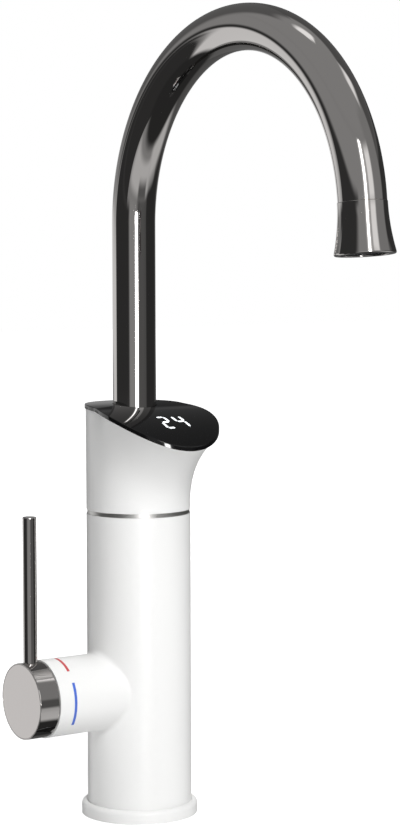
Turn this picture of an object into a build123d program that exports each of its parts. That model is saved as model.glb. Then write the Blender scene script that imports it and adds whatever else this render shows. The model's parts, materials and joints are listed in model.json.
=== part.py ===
from build123d import *
import os
from math import atan, cos, degrees, radians, sin, sqrt, tan

# Millimetres, +Z up. The worktop is z = 0, the user stands at -Y and the handle is at -X.

# Allowances
past = 1.0              # how far a cut runs past the face that it opens
slip = 0.05             # radial gap of a sliding or threaded fit
loose = 0.3             # gap between faces that pass each other
seat = 0.05             # gap of a part dropped into its seat

# Column and foot
body_r = 29.0
body_wall = 2.5
body_top_z = 168.4
flange_r = 32.3
flange_h = 7.2
flange_round = 2.4
crease_round = 0.7
floor_t = 5.5           # floor of the foot, which the column stands on
spigot_h = 6.5
spigot_wall = 2.8

# Branch for the handle
branch_r = 21.3
branch_reach = 64.0     # branch mouth, from the column's axis
branch_fillet = 3.0
handle_z = 70.9         # height of the branch's axis

# Coloured marks inlaid round the branch, angles from the top towards the user
mark_x = -54.6
mark_w = 1.6
mark_depth = 0.3
mark_proud = 0.03
hot_start, hot_end = 0.0, 40.0
cold_start, cold_end = 59.5, 125.5

# Head and the curved plate on it, heights from the head's base
seam_h = 2.4
seam_inset = 0.5
plate_rear_h = 58.45
plate_tip_h = 38.1
plate_tip_slope = 37.0
plate_lip = 0.6         # plate stands over the head all round
plate_reach = 24.9      # the plate's front grows this much past its round rear
plate_t = 2.4
head_reach = 24.4
reach_power = 1.587
flare_power = 2.0
web_t = 2.5

# Display under the plate
digit_w = 6.2
digit_h = 13.5
digit_pitch = 9.8
digits_x = 1.3
digits_y = -32.8
stroke = 1.5
stroke_gap = 0.2
digit_depth = 0.4
digit_proud = 0.02
module_w, module_l, module_t = 21.0, 15.0, 5.0
module_drop = 0.8       # between the plate and the module
frame_wall = 1.2
frame_depth = 3.5
display_board_w, display_board_l, display_board_t = 23.0, 16.0, 1.2
chip_h = 1.2

# Spout
tube_r = 12.0
tube_wall = 1.0
tube_y = 3.5            # spout axis, behind the column's axis
neck_h = 157.0          # straight run from the head's base to the bend
bend_r = 100.0
bend_angle = 174.7

# Nozzle and aerator
nozzle_l = 25.5
nozzle_top_r = 12.25
nozzle_mouth_r = 15.4
nozzle_round = 0.9
nozzle_lip = 3.2        # wall at the mouth
adapter_l = 2.8         # short, as the tube is bent to its end
adapter_thread_l = 10.0
adapter_bore = 8.0
aerator_depth = 1.0     # aerator face inside the mouth
aerator_h = 7.0
aerator_wall = 1.1
aerator_gasket_t = 1.5
insert_t = 2.0
insert_rings = 4
insert_hole_r = 0.85

# Swivel joint under the plate, heights from the head's base
bush_wall = 3.0
bush_top_h = 41.2
bush_flange_t = 6.0
bush_chamber_r = 9.0
tail_low_h = 5.2
tail_top_h = 31.2
tail_spigot_l = 12.0
tail_slip = 0.02        # between the tail and the tube's own radius
tail_bore = 7.0
o_ring_t = 1.2          # radius of the ring's section
o_ring_groove = 0.1     # spare height of its groove
o_ring_heights = (10.2, 15.4)
clip_h = 23.2
clip_t = 1.6
clip_w = 3.5
clip_groove = 1.8       # depth of the clip's groove in the tail
clip_reach = 12.0
dust_seal_h = 3.0
dust_seal_w = 2.4

# Handle
collar_r = 20.7
collar_w = 11.8
collar_gap = 0.4
collar_web = 8.3
collar_chamfer = 0.3
cap_t = 1.5
cap_rim = 0.6
skirt_wall = 2.3
hub_r = 7.5
hub_l = 8.4
rod_r = 3.8
rod_l = 79.4            # above the collar
rod_seat = 2.3
rod_round = 0.6
stud_r, stud_l = 2.5, 9.0
handle_travel = 125.0

# Valve in the branch
chamber_r = 16.5
chamber_floor_x = -14.0
chamber_end_x = 3.0
cartridge_r = 12.5
cartridge_l = 24.0
cartridge_wall = 1.9
cartridge_base_t = 3.0
cartridge_neck = 4.0
nut_thread_l = 8.0
nut_head_l = 4.0
nut_af = 28.0
nut_bore_r = 7.0
port_r = 2.5
port_ring = 7.4
hot_port_angle = -38.0
seal_r = 3.5
seal_t = 1.2
disc_r = 10.5
disc_t = 3.4
pocket_depth = 2.0
drive_pin_r, drive_pin_l = 1.5, 1.5
drive_pin_angles = (80.0, 205.0)
stem_disc_r = 10.0
stem_r = 5.5
stem_square = 7.6
screw_bite = 6.0
bushing_l = 10.0
bushing_nose = 2.0

# Water inlet and its fixing under the worktop
shank_y = -5.0
shank_r = 10.478        # G1/2 thread
shank_bore = 5.5
shank_l = 56.0
hose_thread_l = 11.5    # free end of the thread, for the hose
relief_w, relief_depth = 1.0, 1.0
shank_flange_r = 11.9
shank_flange_t = 3.5
shank_spigot_r = 9.0
shank_spigot_h = 6.0
shank_ring_t = 1.0      # radius of the seal ring's section
shank_ring_h = 3.0
worktop_t = 30.0
washer_r = 25.0
washer_gap = 0.3
rubber_washer_t = 3.0
clamp_washer_t = 2.0
cable_notch = 9.0
lock_nut_h = 8.0
lock_nut_af = 30.0
gasket_outer, gasket_inner, gasket_t = 30.2, 27.2, 1.5
strainer_r, strainer_h = 7.0, 4.0
strainer_wall = 0.8
strainer_rings = 2
strainer_hole_r = 0.7

# Cable inlet
grommet_y = 13.0
grommet_r = 5.0
grommet_bore = 4.0
grommet_lip = 0.8
grommet_lip_t = 1.3

# Valve body
riser_r = 9.5
riser_bore = 5.0
valve_foot_r = 12.5
valve_foot_h = 13.0
ear_x, ear_y, ear_r, ear_t = 17.0, -2.0, 4.5, 6.0
passage_wall = 2.5
cold_x = -7.0
cold_spigot_r = 4.5
cold_spigot_h = 1.0
pipe_socket = 3.4

# Flow switch, its axis given from the heater's
flow_dx, flow_dy = 11.0, 3.5
flow_r = 8.0
flow_h = 20.0
flow_floor = 2.0
flow_port = 3.5
flow_stub_r, flow_stub_l, flow_stub_bore = 3.2, 4.5, 2.2
flow_spigot_r, flow_spigot_l = 5.5, 4.0
piston_r = 5.5
piston_h = 6.5
piston_lift = 0.6
piston_hole = 1.6
spring_r = 4.3
spring_wire = 0.35
spring_turns = 4
reed_z = 8.0            # above the switch's foot
reed_h = 5.0
reed_clip_t = 0.9
reed_w, reed_l = 6.0, 4.0

# Cold pipe past the heater
pipe_r = 2.6
pipe_bore = 1.9
pipe_bend = 4.0
pipe_wall_gap = 1.9
pipe_insert = 1.5

# Heater
terminal_room = 8.6
heater_wall_gap = 5.2
heater_pipe_gap = 1.1
heater_y = 1.0
heater_base_t = 5.0
heater_gasket_t = 1.2
can_flange_w = 3.3
can_flange_t = 3.0
can_wall = 1.0
can_top_t = 1.5
can_head_room = 3.5
can_screw_inset = 1.35
element_r = 2.5
element_ring = 10.0
element_bend = 6.5
element_foot = 5.8
element_top = 9.0
element_leg = 5.5       # below the heater's base
pin_r, pin_l = 1.2, 2.0
nipple_r = 5.0
nipple_bore = 3.5
nipple_insert = 4.0
cutout_r, cutout_h, cutout_z = 5.5, 5.0, 38.0
probe_r, probe_collar_r, probe_h, probe_z = 2.0, 4.0, 4.5, 14.0
probe_depth = 3.0

# Electronics on the column's rear wall
case_depth = 5.2
case_wall = 1.2
case_h = 68.0
case_drop = 4.0
leg_x, leg_w, leg_t = 9.0, 4.0, 3.0
board_t = 1.6
cable_r = 1.2
cable_x, cable_y = 5.8, 22.2
cable_hole_r = 1.9
relay_h, relay_lift = 16.0, 6.0
choke_r, choke_h, choke_lift = 2.1, 12.0, 28.0
capacitor_r, capacitor_lift = 3.5, 34.0
plug_w, plug_h, plug_drop = 5.0, 8.0, 4.0
cable_tail = 6.0        # straight end of the cable at the display
cable_bend = 3.0
cable_turns = (28.0, -25.0)     # where it passes round the bush, angles from +X

# Screws: head radius, head height, shank radius
m25 = (1.9, 1.9, 1.25)
m3 = (2.7, 2.0, 1.5)
m4 = (3.5, 2.6, 2.0)
base_screw_ring = 23.4
base_screw_bite = 8.0
boss_r, boss_h = 3.4, 10.0
lug_r, lug_h, lug_ring = 4.0, 6.0, 22.9
post_r = 3.2
head_screw_ring = 22.0
head_screw_bite = 4.5

# Places worked out from the sizes above
body_in_r = body_r - body_wall
branch_in_r = branch_r - body_wall
head_z = body_top_z + seam_h
web_z = head_z + web_t
plate_r = body_r + plate_lip
plate_rear_z = head_z + plate_rear_h
plate_tip_z = head_z + plate_tip_h
plate_tip_y = -(plate_r + plate_reach)
bend_z = head_z + neck_h
tail_low_z = head_z + tail_low_h
tail_top_z = head_z + tail_top_h
bush_r = tube_r + bush_wall
bush_top_z = head_z + bush_top_h
bush_flange_top = body_top_z - seat
bush_flange_z = bush_flange_top - bush_flange_t
valve_foot_z = floor_t + shank_flange_t
boss_z = floor_t + spigot_h + seat
chamber_open_x = chamber_floor_x - cartridge_l - nut_thread_l
cold_port_angle = hot_port_angle + handle_travel
cold_top_z = handle_z + chamber_r + cold_spigot_h
pipe_run_z = cold_top_z + pipe_bend + loose
heater_base_z = handle_z + chamber_r + terminal_room
flow_z = heater_base_z - flow_h
can_z = heater_base_z + heater_base_t + heater_gasket_t
can_top_z = bush_flange_z - can_head_room
nipple_top_z = bush_flange_z + nipple_insert
pipe_x = -(body_in_r - pipe_r - pipe_wall_gap)
heater_left = pipe_x + pipe_r + heater_pipe_gap
heater_right = body_in_r - heater_wall_gap
heater_r = (heater_right - heater_left) / 2
heater_x = (heater_right + heater_left) / 2
can_r = heater_r - can_flange_w
flow_x = heater_x + flow_dx
flow_y = heater_y + flow_dy
collar_right = -(branch_reach + collar_gap)
collar_left = collar_right - collar_w
cap_floor_x = collar_left + cap_t
web_x = cap_floor_x + collar_web
hub_end_x = web_x + hub_l
rod_x = (collar_left + collar_right) / 2
rod_z = handle_z + collar_r - rod_seat
rod_top_z = handle_z + collar_r + rod_l
cartridge_left = chamber_floor_x - cartridge_l
cartridge_right = chamber_floor_x - seat
cartridge_in_r = cartridge_r - cartridge_wall
fixed_disc_x = cartridge_right - cartridge_base_t - seat
moving_disc_x = fixed_disc_x - disc_t - seat
stem_disc_x = moving_disc_x - disc_t - seat
stem_disc_left = stem_disc_x - disc_t
square_x = chamber_open_x - nut_head_l
case_y = chamber_r + loose
case_back = case_y + case_depth
case_half = sqrt((body_in_r - loose) ** 2 - case_back ** 2)
case_z = heater_base_z - case_drop - case_h

UPWARDS = (Align.CENTER, Align.CENTER, Align.MIN)


# Basic forms

def upright(radius, low, high, x=0.0, y=0.0):
    return Pos(x, y, low) * Cylinder(radius, high - low, align=UPWARDS)


def ring(outer, inner, low, high, x=0.0, y=0.0):
    return upright(outer, low, high, x, y) - upright(inner, low - past, high + past, x, y)


def level(radius, left, right, y=0.0, z=0.0):
    return Pos(left, y, z) * Rot(0, 90, 0) * Cylinder(radius, right - left, align=UPWARDS)


def forward(radius, front, back, x=0.0, z=0.0):
    return Pos(x, front, z) * Rot(-90, 0, 0) * Cylinder(radius, back - front, align=UPWARDS)


def block(x0, x1, y0, y1, z0, z1):
    middle = Pos((x0 + x1) / 2, (y0 + y1) / 2, (z0 + z1) / 2)
    return middle * Box(x1 - x0, y1 - y0, z1 - z0)


def hexagon(across_flats, height):
    return extrude(RegularPolygon(across_flats / sqrt(3), 6), amount=height)


def around(count, radius, start=0.0, x=0.0, y=0.0):
    angles = [radians(start + 360 * k / count) for k in range(count)]
    return [(x + radius * cos(a), y + radius * sin(a)) for a in angles]


def port_place(angle, distance=port_ring):
    # Y and Z of a place on the valve's end face, angles from +Y up
    return distance * cos(radians(angle)), handle_z + distance * sin(radians(angle))


def circles_at(shape, radius, height):
    circles = shape.edges().filter_by(GeomType.CIRCLE)
    near = [e for e in circles if abs(e.radius - radius) < 0.01]
    return [e for e in near if abs(e.arc_center.Z - height) < 0.01]


def holes_grid(rings, spacing, radius, low, high):
    # Upright holes in hexagonal rings about the origin
    holes = upright(radius, low, high)
    for k in range(1, rings + 1):
        for x, y in around(6 * k, k * spacing):
            holes += upright(radius, low, high, x, y)
    return holes


def screw(size, length):
    # Socket screw, its shank up from z = 0 and its head below
    head_r, head_h, shank_r = size
    body = upright(head_r, -head_h, 0) + upright(shank_r, 0, length)
    return body - Pos(0, 0, -head_h) * hexagon(head_r, head_h / 2)


def screws_up(size, length, places, height):
    return Compound(children=[Pos(x, y, height) * screw(size, length) for x, y in places])


def screws_down(size, length, places, height):
    turned = Rot(180, 0, 0) * screw(size, length)
    return Compound(children=[Pos(x, y, height) * turned for x, y in places])


# Where the screws are

def base_screw_places():
    return around(3, base_screw_ring, 90)


def valve_screw_places():
    return [(-ear_x, ear_y), (ear_x, ear_y)]


def lug_places():
    return around(3, lug_ring, 30)


def head_screw_places():
    return around(3, head_screw_ring, 90)


def heater_screw_places():
    return around(4, heater_r - can_screw_inset, 60, heater_x, heater_y)


# Foot and inlet

def base_flange():
    foot = upright(flange_r, 0, flange_h)
    foot -= upright(body_r + seat, floor_t, flange_h + past)
    foot = fillet(circles_at(foot, flange_r, flange_h), flange_round)
    foot = fillet(circles_at(foot, body_r + seat, flange_h), crease_round)
    spigot_r = body_in_r - seat
    inside = upright(spigot_r, floor_t, floor_t + spigot_h)
    foot += ring(spigot_r, spigot_r - spigot_wall, floor_t, floor_t + spigot_h)
    for x, y in base_screw_places():
        foot += inside & upright(boss_r, floor_t, floor_t + spigot_h, x, y)
    foot -= ring(gasket_outer + slip, gasket_inner - slip, -past, gasket_t)
    foot -= upright(shank_r + slip, -past, floor_t + past, 0, shank_y)
    foot -= upright(grommet_r + slip, -past, floor_t + past, 0, grommet_y)
    for size, places in ((m3, base_screw_places()), (m4, valve_screw_places())):
        for x, y in places:
            foot -= upright(size[0] + loose, -past, size[1] + loose, x, y)
            foot -= upright(size[2] + slip, -past, floor_t + spigot_h + past, x, y)
    return foot


def base_gasket():
    return ring(gasket_outer, gasket_inner, 0, gasket_t)


def base_screws():
    height = m3[1] + loose
    length = boss_z + base_screw_bite - height
    return screws_up(m3, length, base_screw_places(), height)


def valve_screws():
    height = m4[1] + loose
    length = valve_foot_z + ear_t - height
    return screws_up(m4, length, valve_screw_places(), height)


def inlet_shank():
    top = valve_foot_z + shank_spigot_h
    shank = upright(shank_r, -shank_l, floor_t + seat, 0, shank_y)
    shank += upright(shank_flange_r, floor_t, valve_foot_z, 0, shank_y)
    shank += upright(shank_spigot_r, valve_foot_z, top, 0, shank_y)
    middle = valve_foot_z + shank_ring_h
    half = shank_ring_t + o_ring_groove
    bottom = shank_spigot_r - 2 * shank_ring_t
    shank -= ring(shank_spigot_r + past, bottom, middle - half, middle + half, 0, shank_y)
    shank -= upright(shank_bore, -shank_l - past, top + past, 0, shank_y)
    shank -= upright(strainer_r, -shank_l - past, strainer_h - shank_l, 0, shank_y)
    low = hose_thread_l - shank_l
    relief = ring(shank_r + past, shank_r - relief_depth, low, low + relief_w, 0, shank_y)
    return shank - relief


def shank_o_ring():
    height = valve_foot_z + shank_ring_h
    return Pos(0, shank_y, height) * Torus(shank_spigot_r - shank_ring_t, shank_ring_t)


def inlet_strainer():
    outer = strainer_r - slip
    top = strainer_h - shank_l
    low = top - strainer_wall
    cup = ring(outer, outer - strainer_wall, strainer_wall - shank_l, low)
    cup += upright(outer, low, top)
    spacing = (outer - strainer_wall - strainer_hole_r) / (strainer_rings + 0.5)
    cup -= holes_grid(strainer_rings, spacing, strainer_hole_r, low - past, top + past)
    return Pos(0, shank_y, 0) * cup


def worktop_washer(top, thickness):
    # Washer under the worktop with a notch for the mains cable
    washer = ring(washer_r, shank_r + washer_gap, top - thickness, top, 0, shank_y)
    front = grommet_y - cable_notch / 2
    half = cable_notch / 2
    return washer - block(-half, half, front, washer_r + past, top - thickness - past, top + past)


def rubber_washer():
    return worktop_washer(-worktop_t, rubber_washer_t)


def clamp_washer():
    return worktop_washer(-worktop_t - rubber_washer_t, clamp_washer_t)


def lock_nut():
    top = -worktop_t - rubber_washer_t - clamp_washer_t
    nut = Pos(0, shank_y, top - lock_nut_h) * hexagon(lock_nut_af, lock_nut_h)
    return nut - upright(shank_r + slip, top - lock_nut_h - past, top + past, 0, shank_y)


def cable_grommet():
    top = floor_t + grommet_lip_t
    grommet = upright(grommet_r, loose, floor_t, 0, grommet_y)
    grommet += upright(grommet_r + grommet_lip, floor_t, top, 0, grommet_y)
    return grommet - upright(grommet_bore, 0, top + past, 0, grommet_y)


# Column with its branch

def mark_band(start, end):
    depth = mark_depth + mark_proud
    middle = branch_r + mark_proud - depth / 2
    section = Plane.XZ * Pos(mark_x, middle) * Rectangle(mark_w, depth)
    strip = revolve(section, axis=Axis.X, revolution_arc=end - start)
    return Pos(0, 0, handle_z) * Rot(start, 0, 0) * strip


def hot_mark():
    return mark_band(hot_start, hot_end)


def cold_mark():
    return mark_band(cold_start, cold_end)


def body_shell():
    shell = upright(body_r, floor_t, body_top_z)
    shell += level(branch_r, -branch_reach, 0, 0, handle_z)
    plain = (GeomType.CIRCLE, GeomType.LINE)
    meeting = [e for e in shell.edges() if e.geom_type not in plain]
    shell = fillet(meeting, branch_fillet)
    shell -= upright(body_in_r, floor_t - past, body_top_z + past)
    shell -= level(branch_in_r, -branch_reach - past, 0, 0, handle_z)
    inside = upright(body_in_r + seat, boss_z, bush_flange_z)
    for x, y in base_screw_places():
        shell += inside & upright(boss_r, boss_z, boss_z + boss_h, x, y)
        shell -= upright(m3[2] + slip, boss_z - past, boss_z + boss_h + past, x, y)
    lug_z = bush_flange_z - lug_h
    for x, y in lug_places():
        shell += inside & upright(lug_r, lug_z, bush_flange_z, x, y)
        shell -= upright(m3[2] + slip, lug_z - past, bush_flange_z + past, x, y)
    return shell - hot_mark() - cold_mark()


def seam_ring():
    return ring(body_r - seam_inset, body_in_r, body_top_z, head_z)


# Head and the curved plate

def plate_curve():
    # Upper face seen from the side, a cubic from the flat rear to the sloping tip, past both edges
    slope = tan(radians(plate_tip_slope))
    rear_y, tip_y = plate_r + past, plate_tip_y - past
    tip_z = plate_tip_z - slope * past
    third = (rear_y - tip_y) / 3
    near_rear = (rear_y - third, plate_rear_z)
    near_tip = (tip_y + third, tip_z + slope * third)
    return (rear_y, plate_rear_z), near_rear, near_tip, (tip_y, tip_z)


def plate_height(y):
    rear, near_rear, near_tip, tip = plate_curve()
    t = (rear[0] - y) / (rear[0] - tip[0])
    start = rear[1] * (1 - t) ** 3 + near_rear[1] * 3 * t * (1 - t) ** 2
    return start + near_tip[1] * 3 * t ** 2 * (1 - t) + tip[1] * t ** 3


def plate_slope(y):
    step = 0.01
    return degrees(atan((plate_height(y + step) - plate_height(y - step)) / (2 * step)))


def plate_edge(drop):
    # The same curve lowered, with straight ends that run clear of the head
    points = [(y, z - drop) for y, z in plate_curve()]
    rear, _, _, tip = points
    slope = tan(radians(plate_tip_slope))
    spare = plate_reach
    rear_end = (rear[0] + spare, rear[1])
    tip_end = (tip[0] - spare, tip[1] - slope * spare)
    return [Line(rear_end, rear), Bezier(*points), Line(tip, tip_end)], rear_end, tip_end


def plate_layer(top_drop, low_drop):
    # Layer between two drops below the plate's upper face, wider than the head
    top, top_rear, top_tip = plate_edge(top_drop)
    low, low_rear, low_tip = plate_edge(low_drop)
    side = make_face(top + low + [Line(top_rear, low_rear), Line(top_tip, low_tip)])
    return extrude(Plane.YZ * side, amount=plate_r + plate_reach, both=True)


def egg(radius, reach, z):
    # Level outline: round at the rear, drawn out to the front by reach(angle)
    steps = 8
    points = []
    for k in range(steps + 1):
        angle = radians(-90 + 180 * k / steps)
        r = radius + reach(angle)
        points.append((r * sin(angle), -r * cos(angle)))
    front = Spline(*points, tangents=[(0, -1), (0, 1)])
    rear = ThreePointArc((radius, 0), (0, radius), (-radius, 0))
    return Pos(0, 0, z) * make_face([front, rear])


def front_share(angle):
    return max(cos(angle), 0.0) ** reach_power


def head_loft(shrink):
    # Cylinder at the base that flares forwards until it meets the plate's outline
    def reach_at(angle, z):
        reach = head_reach * front_share(angle)
        top = plate_height(-(body_r + reach) * cos(angle)) - plate_t
        return reach * ((z - head_z) / (top - head_z)) ** flare_power

    steps = 5
    sections = []
    for k in range(steps + 1):
        z = head_z + (plate_rear_h + past) * k / steps
        sections.append(egg(body_r - shrink, lambda angle, z=z: reach_at(angle, z), z))
    return loft(sections)


def tube_hole(low, high):
    return upright(tube_r + loose, low, high, 0, tube_y)


def head_shell():
    wide = plate_r + plate_reach + past
    hollow = head_loft(body_wall) - block(-wide, wide, -wide, wide, 0, web_z)
    under_plate = plate_layer(plate_t, plate_t + 2 * plate_rear_h)
    head = (head_loft(0) - hollow) & under_plate
    low = bush_flange_top + seat
    head += ring(body_in_r - seat, body_in_r - spigot_wall, low, head_z + seat)
    inside = upright(body_in_r - seat, low, head_z + seat)
    for x, y in head_screw_places():
        head += inside & upright(post_r, low, head_z + seat, x, y)
        head -= upright(m3[2] + slip, low - past, web_z + past, x, y)
    head -= upright(bush_r + loose, low - past, web_z + past, 0, tube_y)
    return head - upright(cable_hole_r, low - past, web_z + past, cable_x, cable_y)


def head_screws():
    length = web_z - bush_flange_top + head_screw_bite
    return screws_down(m3, length, head_screw_places(), web_z)


def display_place():
    return Pos(digits_x, digits_y, plate_height(digits_y)) * Rot(plate_slope(digits_y), 0, 0)


def digit_strokes(shown):
    # Upright prisms of the lit strokes of one figure, pointed at both ends, about its own centre
    side_x = (digit_w - stroke) / 2
    end_y = (digit_h - stroke) / 2
    places = {
        "top": (0, end_y, 0, 2 * side_x),
        "middle": (0, 0, 0, 2 * side_x),
        "bottom": (0, -end_y, 0, 2 * side_x),
        "upper left": (-side_x, end_y / 2, 90, end_y),
        "upper right": (side_x, end_y / 2, 90, end_y),
        "lower left": (-side_x, -end_y / 2, 90, end_y),
        "lower right": (side_x, -end_y / 2, 90, end_y),
    }
    half = stroke / 2
    strokes = []
    for name in shown:
        x, y, angle, run = places[name]
        tip = run / 2 - stroke_gap
        side = tip - half
        outline = Polyline(
            (tip, 0), (side, half), (-side, half), (-tip, 0), (-side, -half), (side, -half), close=True)
        prism = extrude(make_face(outline), amount=plate_rear_h + past)
        strokes.append(Pos(x, y, head_z) * Rot(0, 0, angle) * prism)
    return strokes


def readout():
    two = digit_strokes(("top", "upper right", "middle", "lower left", "bottom"))
    four = digit_strokes(("upper left", "upper right", "middle", "lower right"))
    left = digits_x - digit_pitch / 2
    right = digits_x + digit_pitch / 2
    return [Pos(left, digits_y, 0) * s for s in two] + [Pos(right, digits_y, 0) * s for s in four]


def display_digits():
    skin = plate_layer(-digit_proud, digit_depth)
    return Compound(children=[stroke_prism & skin for stroke_prism in readout()])


def display_plate():
    outline = egg(plate_r, lambda angle: plate_reach * front_share(angle), head_z)
    plate = extrude(outline, amount=plate_rear_h + past) & plate_layer(0, plate_t)
    outer = (module_w + 2 * frame_wall, module_l + 2 * frame_wall)
    frame = Box(*outer, frame_depth) - Box(module_w + 2 * seat, module_l + 2 * seat, frame_depth)
    plate += display_place() * Pos(0, 0, -plate_t / 2 - frame_depth / 2) * frame
    plate -= tube_hole(head_z, plate_rear_z + past)
    skin = plate_layer(-past, digit_depth)
    for stroke_prism in readout():
        plate -= stroke_prism & skin
    return plate


def display_module():
    middle = -module_drop - plate_t - module_t / 2
    return display_place() * Pos(0, 0, middle) * Box(module_w, module_l, module_t)


def display_board():
    top = -module_drop - plate_t - module_t
    low = top - display_board_t
    half_w, half_l = display_board_w / 2, display_board_l / 2
    board = block(-half_w, half_w, -half_l, half_l, low, top)
    board += block(-half_w / 2, 0, -half_l / 2, half_l / 2, low - chip_h, low + seat)
    return display_place() * board


# Spout

def spout_tube():
    section = Circle(tube_r) - Circle(tube_r - tube_wall)
    tube = extrude(Pos(0, tube_y, tail_top_z) * section, amount=bend_z - tail_top_z)
    bend_axis = Axis((0, tube_y - bend_r, bend_z), (1, 0, 0))
    return tube + revolve(Pos(0, tube_y, bend_z) * section, bend_axis, bend_angle)


def nozzle_place():
    # Frame at the end of the bend, +Z along the flow
    return Pos(0, tube_y - bend_r, bend_z) * Rot(bend_angle, 0, 0) * Pos(0, bend_r, 0)


def aerator_top():
    return nozzle_l - aerator_depth - aerator_h


def spout_nozzle():
    bell = Bezier((nozzle_top_r, 0), (nozzle_top_r, nozzle_l / 2), (nozzle_mouth_r, nozzle_l))
    sides = Polyline((nozzle_mouth_r, nozzle_l), (0, nozzle_l), (0, 0), (nozzle_top_r, 0))
    nozzle = revolve(Plane.XZ * make_face([bell, sides]), Axis.Z)
    nozzle = fillet(circles_at(nozzle, nozzle_mouth_r, nozzle_l), nozzle_round)
    seat_top = aerator_top() - aerator_gasket_t
    nozzle -= upright(tube_r - tube_wall, -past, seat_top)
    nozzle -= upright(nozzle_mouth_r - nozzle_lip, seat_top, nozzle_l + past)
    return nozzle_place() * nozzle


def nozzle_adapter():
    adapter = upright(tube_r - tube_wall - slip, -adapter_l, adapter_thread_l)
    return nozzle_place() * (adapter - upright(adapter_bore, -adapter_l - past, nozzle_l))


def aerator_gasket():
    top = aerator_top()
    outer = nozzle_mouth_r - nozzle_lip - slip
    return nozzle_place() * ring(outer, adapter_bore, top - aerator_gasket_t, top)


def aerator_housing():
    top = aerator_top()
    outer = nozzle_mouth_r - nozzle_lip - slip
    return nozzle_place() * ring(outer, outer - aerator_wall, top, top + aerator_h)


def aerator_insert():
    radius = nozzle_mouth_r - nozzle_lip - 2 * slip - aerator_wall
    middle = aerator_top() + aerator_h / 2
    low, high = middle - insert_t / 2, middle + insert_t / 2
    spacing = radius / (insert_rings + 0.5)
    insert = upright(radius, low, high)
    insert -= holes_grid(insert_rings, spacing, insert_hole_r, low - past, high + past)
    return nozzle_place() * insert


# Swivel joint

def spout_bush():
    bush = upright(body_in_r - loose, bush_flange_z, bush_flange_top)
    bush += upright(bush_r, bush_flange_z, bush_top_z, 0, tube_y)
    bush -= upright(nipple_r + slip, bush_flange_z - past, nipple_top_z, 0, tube_y)
    bush -= upright(bush_chamber_r, nipple_top_z - seat, tail_low_z, 0, tube_y)
    bush -= upright(tube_r + slip, tail_low_z - loose, bush_top_z + past, 0, tube_y)
    cross_z = nipple_top_z
    bush -= upright(pipe_r + slip, bush_flange_z - past, bush_flange_z + pipe_insert, pipe_x)
    bush -= upright(pipe_bore, bush_flange_z, cross_z, pipe_x)
    bush -= level(pipe_bore, pipe_x - pipe_bore, 0, 0, cross_z - pipe_bore / 2)
    slot = clip_t / 2 + slip
    clip_z = head_z + clip_h
    inner = tube_r - clip_groove + loose - slip
    for side in (-1, 1):
        x0, x1 = sorted((side * inner, side * (inner + clip_w + 2 * slip)))
        y0, y1 = tube_y - clip_reach - slip, tube_y + bush_r + past
        bush -= block(x0, x1, y0, y1, clip_z - slot, clip_z + slot)
    above = bush_flange_top + past
    for x, y in lug_places():
        bush -= upright(m3[0] + loose, bush_flange_top - m3[1] - loose, above, x, y)
        bush -= upright(m3[2] + slip, bush_flange_z - past, above, x, y)
    for x, y in head_screw_places():
        bush -= upright(m3[2] + slip, bush_flange_top - head_screw_bite - loose, above, x, y)
    return bush - upright(cable_hole_r, bush_flange_z - past, above, cable_x, cable_y)


def bush_screws():
    height = bush_flange_top - m3[1] - loose
    length = height - bush_flange_z + lug_h - loose
    return screws_down(m3, length, lug_places(), height)


def spout_tail():
    tail = upright(tube_r - tail_slip, tail_low_z, tail_top_z, 0, tube_y)
    tail += upright(tube_r - tube_wall - slip, tail_top_z, tail_top_z + tail_spigot_l, 0, tube_y)
    half = o_ring_t + o_ring_groove
    grooves = [(h, half, 2 * o_ring_t) for h in o_ring_heights]
    grooves.append((clip_h, clip_t / 2 + slip, clip_groove))
    for height, reach, depth in grooves:
        middle = head_z + height
        tail -= ring(tube_r + past, tube_r - depth, middle - reach, middle + reach, 0, tube_y)
    return tail - upright(tail_bore, head_z, tail_top_z + tail_spigot_l + past, 0, tube_y)


def spout_o_rings():
    one = Torus(tube_r - o_ring_t, o_ring_t)
    return Compound(children=[Pos(0, tube_y, head_z + h) * one for h in o_ring_heights])


def spout_clip():
    inner = tube_r - clip_groove + loose
    outer = inner + clip_w
    low, high = head_z + clip_h - clip_t / 2, head_z + clip_h + clip_t / 2
    front, back = tube_y - clip_reach, tube_y + bush_r + loose
    clip = block(-outer, outer, back, back + clip_t, low, high)
    for side in (-1, 1):
        x0, x1 = sorted((side * inner, side * outer))
        clip += block(x0, x1, front, back, low, high)
    return clip


def dust_seal():
    inner = tube_r + loose
    return ring(inner + dust_seal_w, inner, bush_top_z, bush_top_z + dust_seal_h, 0, tube_y)


# Handle

def handle_collar():
    collar = level(collar_r, collar_left, collar_right, 0, handle_z)
    collar = chamfer(collar.edges().filter_by(GeomType.CIRCLE), collar_chamfer)
    collar -= level(collar_r - cap_rim, collar_left - past, cap_floor_x, 0, handle_z)
    collar -= level(collar_r - skirt_wall, web_x, collar_right + past, 0, handle_z)
    collar += level(hub_r, web_x - seat, hub_end_x, 0, handle_z)
    half = stem_square / 2 + slip
    low, high = handle_z - half, handle_z + half
    collar -= block(web_x, hub_end_x + past, -half, half, low, high)
    collar -= level(m4[2] + slip, collar_left, hub_end_x, 0, handle_z)
    collar -= level(m4[0] + loose, collar_left, cap_floor_x + m4[1] + loose, 0, handle_z)
    collar -= upright(rod_r + slip, rod_z, rod_top_z, rod_x)
    return collar - upright(stud_r + slip, rod_z - stud_l - loose, rod_top_z, rod_x)


def handle_cap():
    return level(collar_r - cap_rim - seat, collar_left, cap_floor_x, 0, handle_z)


def handle_rod():
    rod = upright(rod_r, rod_z, rod_top_z, rod_x)
    rod = fillet(circles_at(rod, rod_r, rod_top_z), rod_round)
    return rod + upright(stud_r, rod_z - stud_l, rod_z + seat, rod_x)


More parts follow.
